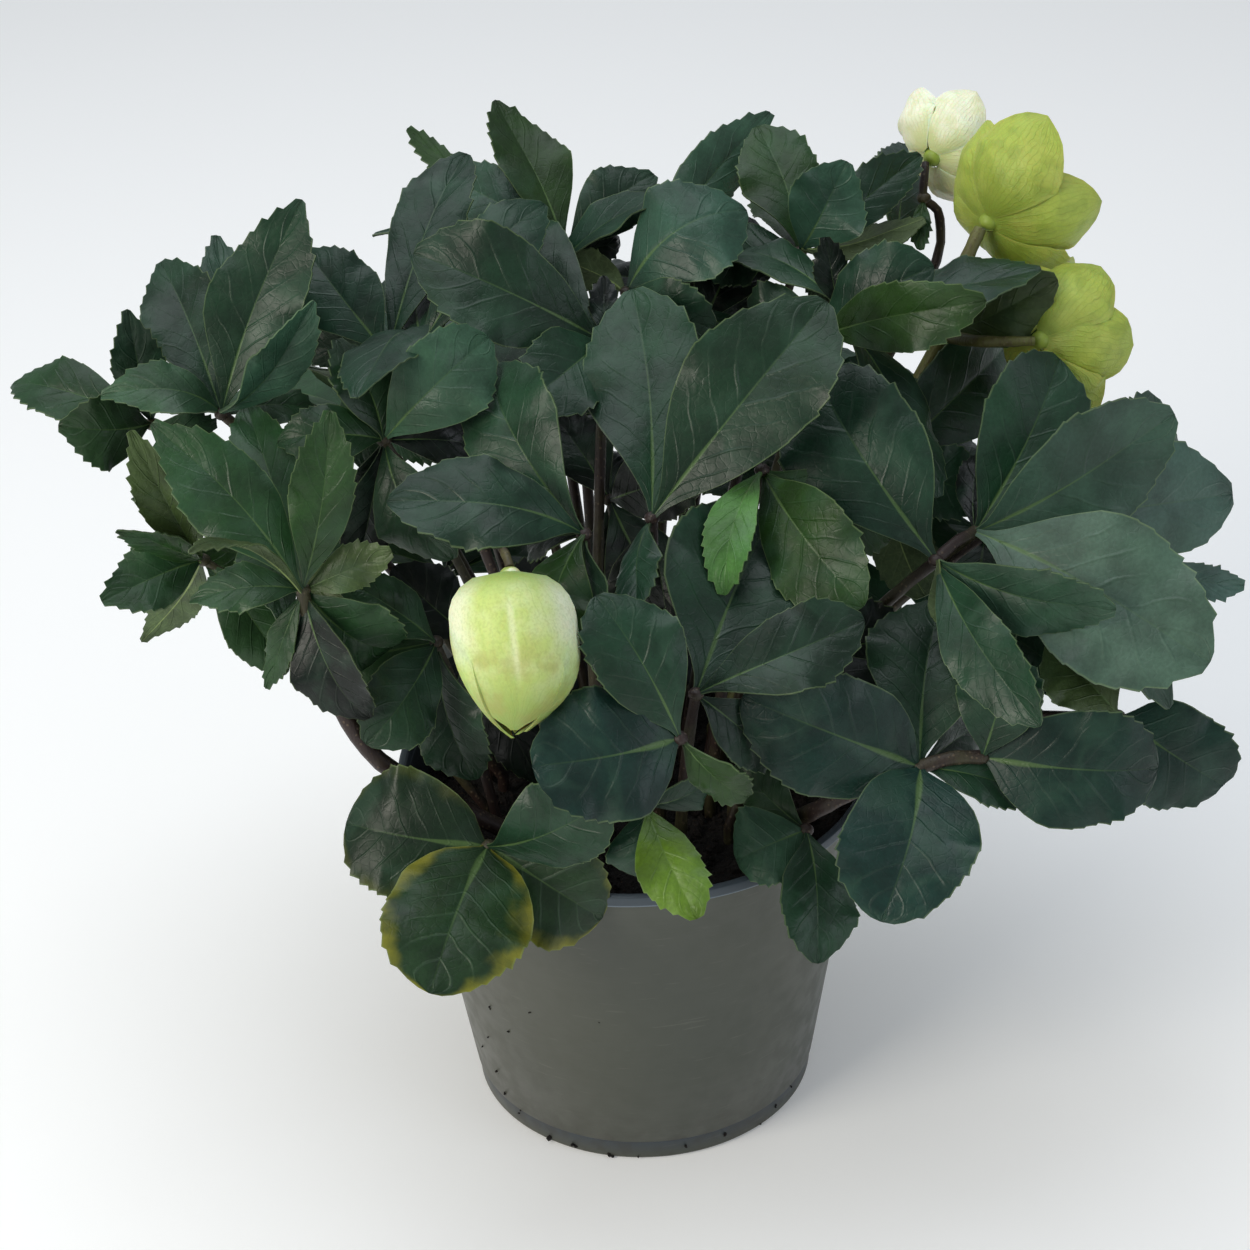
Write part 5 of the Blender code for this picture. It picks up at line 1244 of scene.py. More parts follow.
def pot_material():
    """Injection-moulded polypropylene: satin, faint turned lines, light scuffs, dust near the foot; painted
    light on its left side, a painted slate-blue reflection of the sky on the lip and the inner wall, and a
    painted highlight along the lip's lower edge.
    """
    made, add, shader, place = new_material("pot_polypropylene", 0.42)
    sideways = add("SeparateXYZ", place, output="X")
    height = add("SeparateXYZ", place, output="Z")
    # The inner wall's slate blue is a painted reflection of the sky
    inner = add("Attribute", attribute_name="inner_wall", output="Fac")
    inner = add("Math", inner, 0.8, **MULTIPLY)
    # The left side is lighter: painted light from the left
    painted_left_light = add("MapRange", sideways, 0.02, -0.08, 0.0, 0.5, **SMOOTH)
    # The lip's slate blue is a painted reflection of the sky, and the pale band along its lower edge is a
    # painted highlight
    under_lip = (POT_HEIGHT - LIP_HEIGHT) * MM
    painted_lip_reflection = add("MapRange", height, under_lip - 0.2 * MM, under_lip + 0.1 * MM, 0.0, 0.85)
    painted_lip_highlight = add("MapRange", height, under_lip + 0.9 * MM, under_lip + 0.5 * MM, 0.0, 0.7)
    painted_lip_highlight = add("Math", painted_lip_highlight, painted_lip_reflection, **MULTIPLY)
    low = add("MapRange", height, 0.03, 0.0, 0.0, 0.35, **SMOOTH)
    dust = add("Math", mottle(add, place, 5.0, 4.0, 0.45, 0.65, 0.0, 1.0), low, **MULTIPLY)
    flat = add("Mapping", place, Scale=(0.12, 0.12, 1.6))
    base = coats(add, tuple(colours().plastic),
                 (mottle(add, place, 60.0, 3.0, 0.3, 0.7, 0.0, 0.35), "#3e433d"), (painted_left_light, "#56554b"),
                 (inner, "#343d47"), (painted_lip_reflection, "#3a454f"), (painted_lip_highlight, "#7c8a96"), (dust, "#332d26"),
                 (mottle(add, flat, 1.6, 2.0, 0.66, 0.72, 0.0, 0.12), "#85867a"))
    turned_lines = add("Mapping", place, Scale=(0.02, 0.02, 1.0))
    rings = add("TexNoise", turned_lines, Scale=per_mm(3.0), Detail=1.0)
    grit = add("TexNoise", place, Scale=per_mm(0.5), Detail=2.0)
    relief = add("Math", grit, 0.25, rings, **MULTIPLY_ADD)
    wire_shader(add, shader, base, relief, 0.10, 0.5, mottle(add, place, 8.0, 4.0, 0.3, 0.7, 0.36, 0.50))
    return made


def soil_material():
    """Moist peat and bark: nearly black crumbs about 2 mm across, brown fibres, no gloss."""
    made, add, shader, place = new_material("potting_mix", 0.95)
    crumb = mottle(add, place, 2.2, 5.0, 0.35, 0.7, 0.0, 1.0)
    fibre = mottle(add, place, 1.2, 3.0, 0.60, 0.72, 0.0, 0.5)
    base = coats(add, to_linear("#0c0907"), (crumb, colours().soil), (fibre, "#3d2b1d"))
    wire_shader(add, shader, base, crumb, 1.0, 0.9)
    return made


def flower_part_material(name, code, roughness, grain):
    """Small soft flower part: one tone with a greener mottle at the size of its own grain in mm."""
    made, add, shader, place = new_material(name, roughness)
    base = coats(add, to_linear(code), (mottle(add, place, grain, 3.0, 0.3, 0.7, 0.0, 0.4), "#7c8440"))
    shader.id_data.links.new(base, shader.inputs["Base Color"])
    return made


def finish(name):
    """A material by name, made the first time it is asked for."""
    found = bpy.data.materials.get(name)
    if found:
        return found
    paint = colours()
    makers = {
        "leaf_blade_waxy": (leaf_material,),
        "leaf_stalk_fleshy": (stalk_material, name, paint.stalk, "#1a120f", "#464a29"),
        "flower_stem_fleshy": (stalk_material, name, paint.stem, "#453626", "#737a3c"),
        "bud_stem_fleshy": (stalk_material, name, paint.stalk, "#231814", "#6d6c3b"),
        "sepal_lime_satin": (sepal_material, name, paint.lime, "#7c9230", "#b3bd5a", "#788c30"),
        "sepal_cream_satin": (sepal_material, name, paint.cream, "#cdd888", "#fbfbea", "#c8d28a"),
        "bud_sepal": (bud_material,),
        "pot_polypropylene": (pot_material,),
        "potting_mix": (soil_material,),
        "stamen_thread": (flower_part_material, name, "#dfe0b0", 0.5, 3.0),
        "anther_pollen": (flower_part_material, name, "#e4d79a", 0.8, 1.0),
        "nectary_green": (flower_part_material, name, "#8fa53c", 0.45, 2.0),
    }
    maker, *values = makers[name]
    return maker(*values)

# Modelling helpers

def select_only(*objects):
    bpy.ops.object.select_all(action="DESELECT")
    for obj in objects:
        obj.select_set(True)
    if objects:
        bpy.context.view_layer.objects.active = objects[0]


def join(name, objects):
    """Joins pieces into one object with this name."""
    select_only(*objects)
    if len(objects) > 1:
        bpy.ops.object.join()
    piece = bpy.context.view_layer.objects.active
    piece.name = name
    piece.data.name = name
    return piece


def dress(piece, *materials):
    piece.data.materials.clear()
    for name in materials:
        piece.data.materials.append(finish(name))
    return piece


def new_piece(name, mesh, material):
    piece = bpy.data.objects.new(name, mesh)
    bpy.context.collection.objects.link(piece)
    return dress(piece, material)


def face_outwards(mesh, merge_within=0.0):
    """Turns the faces of closed shells outwards, once their doubles are merged."""
    bm = bmesh.new()
    bm.from_mesh(mesh)
    if merge_within:
        bmesh.ops.remove_doubles(bm, verts=bm.verts, dist=merge_within)
    bmesh.ops.recalc_face_normals(bm, faces=bm.faces)
    bm.to_mesh(mesh)
    bm.free()


def coordinates(mesh):
    values = np.empty(len(mesh.vertices) * 3)
    mesh.vertices.foreach_get("co", values)
    return values.reshape(-1, 3)


def put_coordinates(mesh, values):
    mesh.vertices.foreach_set("co", np.ascontiguousarray(values, np.float32).ravel())
    mesh.update()


def put_attribute(mesh, name, values):
    data = mesh.attributes.get(name) or mesh.attributes.new(name, "FLOAT", "POINT")
    data.data.foreach_set("value", np.broadcast_to(values, len(mesh.vertices)).astype(np.float32))


def put_tint(mesh, colour):
    data = mesh.attributes.get("leaf_tint") or mesh.attributes.new("leaf_tint", "FLOAT_COLOR", "POINT")
    whole = np.tile(np.array([*colour, 1.0], np.float32), len(mesh.vertices))
    data.data.foreach_set("color", whole)


def eased(x, table):
    """Smooth curve through a table of (x, y)."""
    xs = np.array([row[0] for row in table])
    ys = np.array([row[1] for row in table])
    slopes = np.gradient(ys, xs)
    i = np.clip(np.searchsorted(xs, x, side="right") - 1, 0, len(xs) - 2)
    h = xs[i + 1] - xs[i]
    t = np.clip((x - xs[i]) / h, 0.0, 1.0)
    t2 = t * t
    t3 = t2 * t
    return ((2 * t3 - 3 * t2 + 1) * ys[i] + (t3 - 2 * t2 + t) * h * slopes[i]
            + (3 * t2 - 2 * t3) * ys[i + 1] + (t3 - t2) * h * slopes[i + 1])


TEMPLATES = {}


def blade_template(teeth):
    """A flat blade modelled once: X runs 0 to 1 from base to tip, Y from edge to edge, Z its two faces.
    With teeth, its rows fall on each tooth's foot, slope and crest; without, they are even."""
    if teeth in TEMPLATES:
        return TEMPLATES[teeth]
    if teeth:
        step = (1.0 - FIRST_TOOTH) / teeth
        stations = [*PLAIN_ROWS]
        stations += [FIRST_TOOTH + step * (k + share) for k in range(teeth) for share in TOOTH_STEPS]
        stations.append(1.0)
    else:
        stations = SEPAL_ROWS
    columns = [-c for c in reversed(COLUMNS[1:])] + list(COLUMNS)
    select_only()
    bpy.ops.mesh.primitive_grid_add(
        x_subdivisions=len(stations) - 1, y_subdivisions=len(columns) - 1, size=2.0, calc_uvs=True)
    sheet = bpy.context.object
    flat = coordinates(sheet.data)
    rows = np.rint((flat[:, 0] + 1) / 2 * (len(stations) - 1)).astype(int)
    places = np.rint((flat[:, 1] + 1) / 2 * (len(columns) - 1)).astype(int)
    flat[:, 0] = np.array(stations)[rows]
    flat[:, 1] = np.array(columns)[places]
    put_coordinates(sheet.data, flat)
    wall = sheet.modifiers.new("thickness", "SOLIDIFY")
    wall.thickness = 1.0
    wall.offset = 0.0
    bpy.ops.object.modifier_apply(modifier=wall.name)
    bpy.ops.object.shade_smooth_by_angle(angle=SMOOTH_ANGLE)
    mesh = sheet.data
    flat = coordinates(mesh)
    put_attribute(mesh, "upper", (flat[:, 2] > 0).astype(float))
    corners = np.empty(len(mesh.loops), int)
    mesh.loops.foreach_get("vertex_index", corners)
    uv = np.stack([flat[corners, 0], flat[corners, 1] / 2 + 0.5], axis=1)
    mesh.uv_layers.active.data.foreach_set("uv", uv.astype(np.float32).ravel())
    mesh.use_fake_user = True
    TEMPLATES[teeth] = mesh
    bpy.data.objects.remove(sheet, do_unlink=True)
    return mesh


def unit(vectors):
    return vectors / np.maximum(np.linalg.norm(vectors, axis=1, keepdims=True), 1e-9)


def tooth_edge(along, side, phase, teeth):
    """0 to 1 height of the toothed edge at each place along the blade: no two teeth are alike."""
    step = (1.0 - FIRST_TOOTH) / teeth
    count = (along - FIRST_TOOTH) / step + 1e-6
    height = np.interp(np.mod(count, 1.0), (*TOOTH_STEPS, 1.0), (*TOOTH_HEIGHTS, 0.0))
    tooth = np.floor(count)
    fate = np.mod(np.abs(np.sin(tooth * 12.99 + phase * 4.1 + side * 2.7)) * 43.7, 1.0)
    low, high = TOOTH_RANGE
    height = height * (low + (high - low) * fate)
    grow = np.clip((along - TEETH_START[0]) / (TEETH_START[1] - TEETH_START[0]), 0.0, 1.0)
    return height * grow * np.where((count > 0) & (along < 0.999), 1.0, 0.0)


def pointed_share(blade):
    """0 for a blunt leaflet and 1 for a pointed one: those at the left and at the top are pointed."""
    x, y = picture_point(blade.tip)
    left, top = POINTED_BEFORE
    share = max((left - x) / POINTED_FADE[0], min(0.5, (top - y) / POINTED_FADE[1]))
    return min(1.0, max(0.1, share + 0.35 * math.sin(6.1 * blade.phase)))


def blade_mesh(blade, teeth):
    """The template laid over one blade of the plan, with midrib, swells, waves, twist and teeth."""
    mesh = blade_template(teeth).copy()
    flat = coordinates(mesh)
    along, v, lift = flat[:, 0].copy(), flat[:, 1], flat[:, 2]
    off = np.abs(v)
    sign = np.sign(v)
    half = blade.width / 2
    phase = blade.phase
    width = eased(along, FINE_OUTLINES[blade.side]) * half
    if teeth and blade.side is not ROUND_SIDE:
        slender = eased(along, POINTED_OUTLINE) * half
        width = width + (slender - width) * pointed_share(blade)
    length = (blade.tip - blade.base).length
    if teeth:
        step = (1.0 - FIRST_TOOTH) / teeth
        saw = tooth_edge(along, sign, phase, teeth)
        uneven = 1.0 + 0.07 * sign * np.sin(7.0 * along + 2.0 * phase)
        width = width * uneven + saw * sizes().tooth_depth / MM * off ** 6
        along = np.clip(along + saw * off ** 6 * step * TOOTH_REACH, 0.0, 1.0)
    across = v * width

    base, bend, tip = (np.array(p) for p in (blade.base, blade.bend, blade.tip))
    face = np.array(blade.face)
    t = along[:, None]
    centre = base * (1 - t) ** 2 + bend * (2 * t * (1 - t)) + tip * t ** 2
    run = unit((bend - base) * (1 - t) + (tip - bend) * t)
    sideways = unit(np.cross(run, face))
    up = np.cross(sideways, run)
    distance = np.abs(across)
    share = distance / half
    rise_sin = math.sin(blade.fold)
    rise_cos = math.cos(blade.fold)
    if teeth:
        # The leaflet sways, hooks at its tip and twists about its midrib
        bow = np.sin(math.pi * along)
        centre = centre + sideways * (SWAY * length * math.sin(3.7 * phase) * bow)[:, None]
        hook = np.clip((along - 0.62) / 0.38, 0, 1) ** 2 * TIP_HOOK * math.sin(2.9 * phase + 0.6)
        centre = centre + up * hook[:, None]
        most = np.radians(TWIST * math.sin(1.9 * phase + 1.0))
        twist = most * (2 * along - 1.0) * np.clip(along * 4, 0, 1)
        sideways, up = (sideways * np.cos(twist)[:, None] + up * np.sin(twist)[:, None],
                        up * np.cos(twist)[:, None] - sideways * np.sin(twist)[:, None])
        rise = (np.sqrt(distance ** 2 + CREASE ** 2) - CREASE) * rise_sin
        rise = rise - CURL * share ** 2.5 * half * (0.6 + 0.6 * math.sin(4.3 * phase))
        offset = np.where(v > 0, WAVE_OFFSET, 0.0)
        rise = rise + WAVE_HEIGHT * share * np.sin(WAVE_TURNS * along + phase + offset)
        wave = np.sin(13.0 * along + 2.3 * phase + 2.0 * sign) + 0.5 * np.sin(29.0 * along + 5.0 * phase)
        wave_height = EDGE_WAVE * min(1.0, half / WAVY_FROM)
        rise = rise + wave_height * share ** 2.4 * wave * np.clip(along * 2.5, 0, 1) * 0.7
        between = (along - VEIN_SLANT * off) * blade.veins
        swell = -np.cos(2 * math.pi * between) * np.sin(math.pi * np.clip(off, 0, 1)) ** 0.7
        rise = rise + sizes().pucker / MM * swell * np.clip(along * 6, 0, 1)
    else:
        rise = distance * share * rise_sin
        ruffle = np.sin(11.0 * along + 3.0 * phase + 1.7 * sign) + 0.6 * np.sin(23.0 * along + phase)
        rise = rise + RUFFLE * share ** 3 * ruffle * np.clip(along * 2, 0, 1) - SEPAL_ROLL * share ** 4
        dents = np.sin(0.33 * across + 5.0 * along + phase) * np.sin(9.0 * along + 2.0 * phase)
        rise = rise + SEPAL_DENT * dents * np.clip(along * 3, 0, 1)
    thick = BLADE_THICK + (BLADE_EDGE_THICK - BLADE_THICK) * off ** 2
    normal = up * rise_cos - sideways * (sign * rise_sin)[:, None]
    spread = across * rise_cos
    rib = np.exp(-(distance / 0.8) ** 2)
    out = lift * thick
    if teeth:
        out = out - np.where(lift < 0, sizes().midrib / MM * rib * (1.15 - along), 0.0)
        out = out - np.where(lift > 0, 0.30 * rib, 0.0)
    else:
        out = out - np.where(lift < 0, 0.25 * rib * (1 - along), 0.0)
    points = centre + sideways * spread[:, None] + up * rise[:, None] + normal * out[:, None]
    put_coordinates(mesh, points * MM)
    return mesh


def kind_colour(blade):
    """The kind's colour, drawn towards its area's (painted sheen in two areas), with a small shift in
    lightness for each leaflet.
    """
    x, y = picture_point((blade.tip + blade.base) / 2)
    paint = Vector(getattr(colours(), blade.kind))
    for left, top, right, bottom, code, share in LEAF_HUE_AND_SHEEN_AREAS:
        inside = min(x - left, right - x, y - top, bottom - y) / AREA_FADE
        if inside > 0 and blade.kind in ("dark", "round", "rim", "pale", "young"):
            paint = paint.lerp(Vector(to_linear(code)), share * min(inside, 1.0))
    light = 1.0 + 0.16 * math.sin(5.0 * blade.phase)
    warm = 1.0 + 0.06 * math.sin(9.0 * blade.phase)
    return paint[0] * light * warm, paint[1] * light, paint[2] * light / warm


def leaflet(blade, name):
    """One leaflet with its teeth, tint and vein count; long leaflets have more teeth."""
    length = (blade.tip - blade.base).length
    teeth = next(count for longest, count in TEETH if length < longest)
    blade.veins = teeth * 0.9
    mesh = blade_mesh(blade, teeth)
    put_tint(mesh, kind_colour(blade))
    put_attribute(mesh, "fading", FADING.get(blade.kind, 0.0))
    put_attribute(mesh, "vein_count", blade.veins)
    return new_piece(name, mesh, "leaf_blade_waxy")


def stalk(name, path, radii, material, bends=4, sides=3):
    """A smooth tapering stalk along a path, with small swellings, and closed ends."""
    line = [path[0]] + curve_points(path[1:], bends) if len(path) > 3 else curve_points(path, bends)
    places = np.linspace(0, len(radii) - 1, len(line))
    widths = np.interp(places, range(len(radii)), radii)
    select_only()
    bpy.ops.curve.primitive_nurbs_path_add()
    piece = bpy.context.object
    curve = piece.data
    curve.splines.clear()
    spline = curve.splines.new("POLY")
    spline.points.add(len(line) - 1)
    for k, (point, place, width) in enumerate(zip(spline.points, line, widths)):
        point.co = (*(place * MM), 1.0)
        point.radius = width * (1.0 + 0.05 * math.sin(2.1 * k + width * 7))
    curve.bevel_depth = MM
    curve.bevel_resolution = sides
    curve.use_fill_caps = True
    bpy.ops.object.convert(target="MESH")
    piece = bpy.context.object
    piece.name = name
    face_outwards(piece.data, MERGE_WITHIN)
    bpy.ops.object.shade_smooth_by_angle(angle=SMOOTH_ANGLE)
    return dress(piece, material)


def knob(name, place, radius, material, squash=1.0):
    """A small round swelling, such as where leaflets meet."""
    select_only()
    bpy.ops.mesh.primitive_uv_sphere_add(segments=14, ring_count=9, radius=radius * MM, location=place * MM)
    piece = bpy.context.object
    piece.name = name
    piece.scale.z = squash
    bpy.ops.object.transform_apply()
    bpy.ops.object.shade_smooth()
    return dress(piece, material)


def leaf_piece(leaf, stalk_finish="leaf_stalk_fleshy"):
    """A whole leaf: its stalks, forks and leaflets as one object that stands for its solid."""
    name = leaf["name"]
    parts = []
    for k, blade in enumerate(leaf["blades"]):
        parts.append(leaflet(blade, f"{name}_blade_{k}"))
    for k, (path, radii) in enumerate(leaf["tubes"]):
        parts.append(stalk(f"{name}_stalk_{k}", path, radii, stalk_finish))
    for k, hub in enumerate(leaf["hubs"]):
        parts.append(knob(f"{name}_fork_{k}", hub, HUB_RADIUS * 0.72, stalk_finish, 0.8))
    piece = join(name + "_fine", parts)
    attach(piece, "root")
    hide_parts(name)
    return piece


def add_deep_leaflets(leaves, placed):
    """Grows a small leaflet across each deep place, from the nearest fork where one fits."""
    for k, (x, y, *kind) in enumerate(DEEP_PLACES):
        near_forks = []
        for leaf in leaves:
            for hub in leaf["hubs"]:
                fork_x, fork_y = picture_point(hub)
                reach = math.hypot(x - fork_x, y - fork_y)
                if DEEP_REACH[0] < reach < DEEP_REACH[1]:
                    near_forks.append((reach, leaf, hub, fork_x, fork_y))
        near_forks.sort(key=lambda fork: fork[0])
        for reach, leaf, hub, fork_x, fork_y in near_forks[:DEEP_FORKS]:
            past = min(reach * DEEP_PAST, DEEP_LONGEST) / reach
            length = reach * past * CAMERA_DISTANCE / LENS_PIXELS
            near = (hub - AIM).dot(TOWARD) - DEEP_BEHIND
            planned = (fork_x + (x - fork_x) * past, fork_y + (y - fork_y) * past, near,
                       DEEP_WIDTH * length, DEEP_TURN if k % 2 else -DEEP_TURN, DEEP_ARCH * length,
                       DEEP_FOLD, *kind)
            blade = fit_blade(placed, leaf["name"], picture_leaflet(hub, planned, 1.3 * k, -1), False)
            if blade:
                leaf["blades"].append(blade)
                break


PLAN = {}


def plan():
    """The plant's plan, worked out once."""
    if not PLAN:
        PLAN["leaves"], PLAN["stems"], PLAN["blooms"], placed = plan_plant()
        add_deep_leaflets(PLAN["leaves"], placed)
    return PLAN


class HELLEBORE_OT_pot(bpy.types.Operator):
    """Turn the pot: wall, floor, thin rolled lip, step near the foot and drain holes"""

    bl_idname = "hellebore.pot"
    bl_label = "Pot"

    def execute(self, context):
        wall = sizes().wall / MM
        brim = POT_TOP_RADIUS - wall
        under_lip = POT_HEIGHT - LIP_HEIGHT
        floor = wall_radius(POT_FLOOR) - wall
        step = wall_radius(STEP_HEIGHT)
        profile = [(0.0, POT_FLOOR), (floor - 1.5, POT_FLOOR), (floor, POT_FLOOR + 1.5)]
        profile += [(wall_radius(height) - wall, height) for height in (40.0, 80.0, SOIL_TOP)]
        profile += [
            (brim, POT_HEIGHT - 0.8), (brim + 0.5, POT_HEIGHT - 0.2), (brim + 1.0, POT_HEIGHT),
            (LIP_RADIUS - 0.8, POT_HEIGHT), (LIP_RADIUS - 0.2, POT_HEIGHT - 0.3),
            (LIP_RADIUS, POT_HEIGHT - 0.9), (LIP_RADIUS, under_lip + 0.5), (LIP_RADIUS - 0.4, under_lip),
            (wall_radius(under_lip) + 0.3, under_lip), (wall_radius(under_lip), under_lip - 0.5),
        ]
        profile += [(wall_radius(height), height) for height in (105.0, 75.0, 45.0, STEP_HEIGHT + 0.3)]
        profile += [
            (step - 0.2, STEP_HEIGHT), (step - STEP_DEPTH, STEP_HEIGHT - 0.6),
            (POT_FOOT_RADIUS - 0.4, 1.2), (POT_FOOT_RADIUS - 1.5, 0.0), (0.0, 0.0),
        ]
        select_only()
        bpy.ops.mesh.primitive_circle_add(vertices=len(profile), radius=0.01)
        pot = context.object
        bm = bmesh.new()
        ring = [bm.verts.new((radius * MM, 0.0, height * MM)) for radius, height in profile]
        for first, second in zip(ring, ring[1:]):
            bm.edges.new((first, second))
        bm.to_mesh(pot.data)
        bm.free()
        bpy.ops.object.mode_set(mode="EDIT")
        bpy.ops.mesh.select_all(action="SELECT")
        bpy.ops.mesh.spin(steps=144, angle=math.tau, center=(0, 0, 0), axis=(0, 0, 1))
        bpy.ops.mesh.select_all(action="SELECT")
        bpy.ops.mesh.remove_doubles(threshold=0.00001)
        bpy.ops.mesh.normals_make_consistent(inside=False)
        bpy.ops.object.mode_set(mode="OBJECT")
        cutters = []
        for k in range(DRAIN_COUNT):
            heading = math.tau * k / DRAIN_COUNT
            bpy.ops.mesh.primitive_cylinder_add(
                vertices=24, radius=DRAIN_RADIUS * MM, depth=4 * POT_FLOOR * MM,
                location=(DRAIN_RING * MM * math.cos(heading), DRAIN_RING * MM * math.sin(heading), 0.001))
            cutters.append(context.object)
        cutter = join("drain_cutters", cutters)
        select_only(pot)
        cut = pot.modifiers.new("drains", "BOOLEAN")
        cut.solver = "EXACT"
        cut.operation = "DIFFERENCE"
        cut.object = cutter
        bpy.ops.object.modifier_apply(modifier=cut.name)
        bpy.data.objects.remove(cutter, do_unlink=True)
        bpy.ops.object.shade_smooth_by_angle(angle=math.radians(32))
        flat = coordinates(pot.data) / MM
        reach = np.hypot(flat[:, 0], flat[:, 1])
        spread = (POT_TOP_RADIUS - POT_FOOT_RADIUS) * flat[:, 2] / POT_HEIGHT
        inside = (reach < POT_FOOT_RADIUS + spread - wall / 2) & (flat[:, 2] > POT_FLOOR)
        put_attribute(pot.data, "inner_wall", inside.astype(float))
        pot.name = "pot_moulded"
        dress(pot, "pot_polypropylene")
        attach(pot, "root")
        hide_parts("pot")
        return {"FINISHED"}


def crumb_template():
    select_only()
    bpy.ops.mesh.primitive_ico_sphere_add(subdivisions=1, radius=1.0)
    crumb = bpy.context.object
    mesh = crumb.data.copy()
    bpy.data.objects.remove(crumb, do_unlink=True)
    return mesh


def scatter(name, template, spots, material):
    """Copies of one small rough shape at (place, size, squash), joined into one piece."""
    source = coordinates(template)
    faces = [tuple(p.vertices) for p in template.polygons]
    points = []
    joined = []
    maker = random.Random(name)
    for place, size, squash in spots:
        turn = Matrix.Rotation(maker.uniform(0, math.tau), 3, Vector(
            (maker.uniform(-1, 1), maker.uniform(-1, 1), maker.uniform(-1, 1) + 0.01)).normalized())
        start = len(points)
        for corner in source:
            rough = Vector(corner) * maker.uniform(0.75, 1.15)
            rough.z *= squash
            points.append(tuple((place + turn @ rough * size) * MM))
        joined.extend(tuple(start + v for v in face) for face in faces)
    mesh = bpy.data.meshes.new(name)
    mesh.from_pydata(points, [], joined)
    mesh.update()
    return new_piece(name, mesh, material)


class HELLEBORE_OT_soil(bpy.types.Operator):
    """Fill the pot with lumpy potting mix and strew crumbs over it"""

    bl_idname = "hellebore.soil"
    bl_label = "Soil"

    def execute(self, context):
        foot = POT_FLOOR + SOIL_GAP
        edge = wall_radius(SOIL_TOP) - POT_WALL - SOIL_GAP
        select_only()
        bpy.ops.mesh.primitive_cylinder_add(
            vertices=SOIL_SIDES, radius=edge * MM, depth=(SOIL_TOP - foot) * MM,
            location=(0, 0, (SOIL_TOP + foot) / 2 * MM))
        soil = context.object
        bpy.ops.object.transform_apply()
        bm = bmesh.new()
        bm.from_mesh(soil.data)
        top = max(bm.faces, key=lambda face: face.calc_center_median().z)
        for _ in range(SOIL_RINGS - 1):
            bmesh.ops.inset_region(bm, faces=[top], thickness=edge * MM / SOIL_RINGS)
            top = max(bm.faces, key=lambda face: (round(face.calc_center_median().z, 6), len(face.verts)))
        bmesh.ops.poke(bm, faces=[top])
        dice = random.Random(SEED)
        for vert in bm.verts:
            reach = math.hypot(vert.co.x, vert.co.y) / MM
            if vert.co.z > SOIL_TOP * MM - 1e-6:
                swell = (math.sin(vert.co.x * 190) + math.sin(vert.co.y * 230 + 1)
                         + math.sin((vert.co.x + vert.co.y) * 410)) * 0.5
                if reach < edge - 1:
                    vert.co.z += (swell * SOIL_LUMP * 0.5 + dice.uniform(-0.7, 0.7)) * MM
                else:
                    vert.co.z -= 1.0 * MM
            elif vert.co.z < foot * MM + 1e-6:
                shrink = (wall_radius(POT_FLOOR) - POT_WALL - SOIL_GAP - 0.6) / edge
                vert.co.x *= shrink
                vert.co.y *= shrink
        bmesh.ops.triangulate(bm, faces=bm.faces)
        bm.to_mesh(soil.data)
        bm.free()
        soil.name = "soil_bed"
        dress(soil, "potting_mix")
        spots = []
        for k in range(CRUMB_COUNT):
            reach = (edge - 3) * math.sqrt(dice.random())
            heading = dice.uniform(0, math.tau)
            size = dice.uniform(0.5, 1.6) if k % 9 else dice.uniform(1.8, 3.4)
            place = level(heading) * reach + Vector((0, 0, SOIL_TOP + dice.uniform(-0.8, 1.4)))
            spots.append((place, size, dice.uniform(0.4, 1.0)))
        crumbs = scatter("soil_crumbs", crumb_template(), spots, "potting_mix")
        piece = join("soil_fine", [soil, crumbs])
        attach(piece, "root")
        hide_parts("soil")
        return {"FINISHED"}


class HELLEBORE_OT_crumbs(bpy.types.Operator):
    """Stick the few soil crumbs to the pot's outside, as on a pot fresh from the bench"""

    bl_idname = "hellebore.crumbs"
    bl_label = "Crumbs on the pot"

    def execute(self, context):
        spots = []
        dice = random.Random(SEED + 1)
        for x, y, size in CRUMBS:
            place = on_wall(x, y)
            for _ in range(2):
                stray = Vector((dice.uniform(-1, 1), dice.uniform(-0.6, 0.6), dice.uniform(-1, 1)))
                spots.append((place + stray * size, size * dice.uniform(0.6, 1.0), 0.6))
        piece = scatter("crumbs_on_pot", crumb_template(), spots, "potting_mix")
        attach(piece, "root")
        return {"FINISHED"}


class HELLEBORE_OT_leaves(bpy.types.Operator):
    """Model every leaf that the picture shows: stalk, forks and toothed leaflets"""

    bl_idname = "hellebore.leaves"
    bl_label = "Leaves in view"

    def execute(self, context):
        for leaf in plan()["leaves"][:len(LEAVES)]:
            leaf_piece(leaf)
        return {"FINISHED"}


class HELLEBORE_OT_back_leaves(bpy.types.Operator):
    """Model the leaves on the far side of the clump"""

    bl_idname = "hellebore.back_leaves"
    bl_label = "Leaves behind"

    def execute(self, context):
        for leaf in plan()["leaves"][len(LEAVES):]:
            leaf_piece(leaf)
        return {"FINISHED"}


class HELLEBORE_OT_stems(bpy.types.Operator):
    """Model the flower stems with their branches and bracts"""

    bl_idname = "hellebore.stems"
    bl_label = "Flower stems"

    def execute(self, context):
        for stem in plan()["stems"]:
            thick = stem["name"] == "flower_stem_right"
            leaf_piece(stem, "flower_stem_fleshy" if thick else "bud_stem_fleshy")
        return {"FINISHED"}


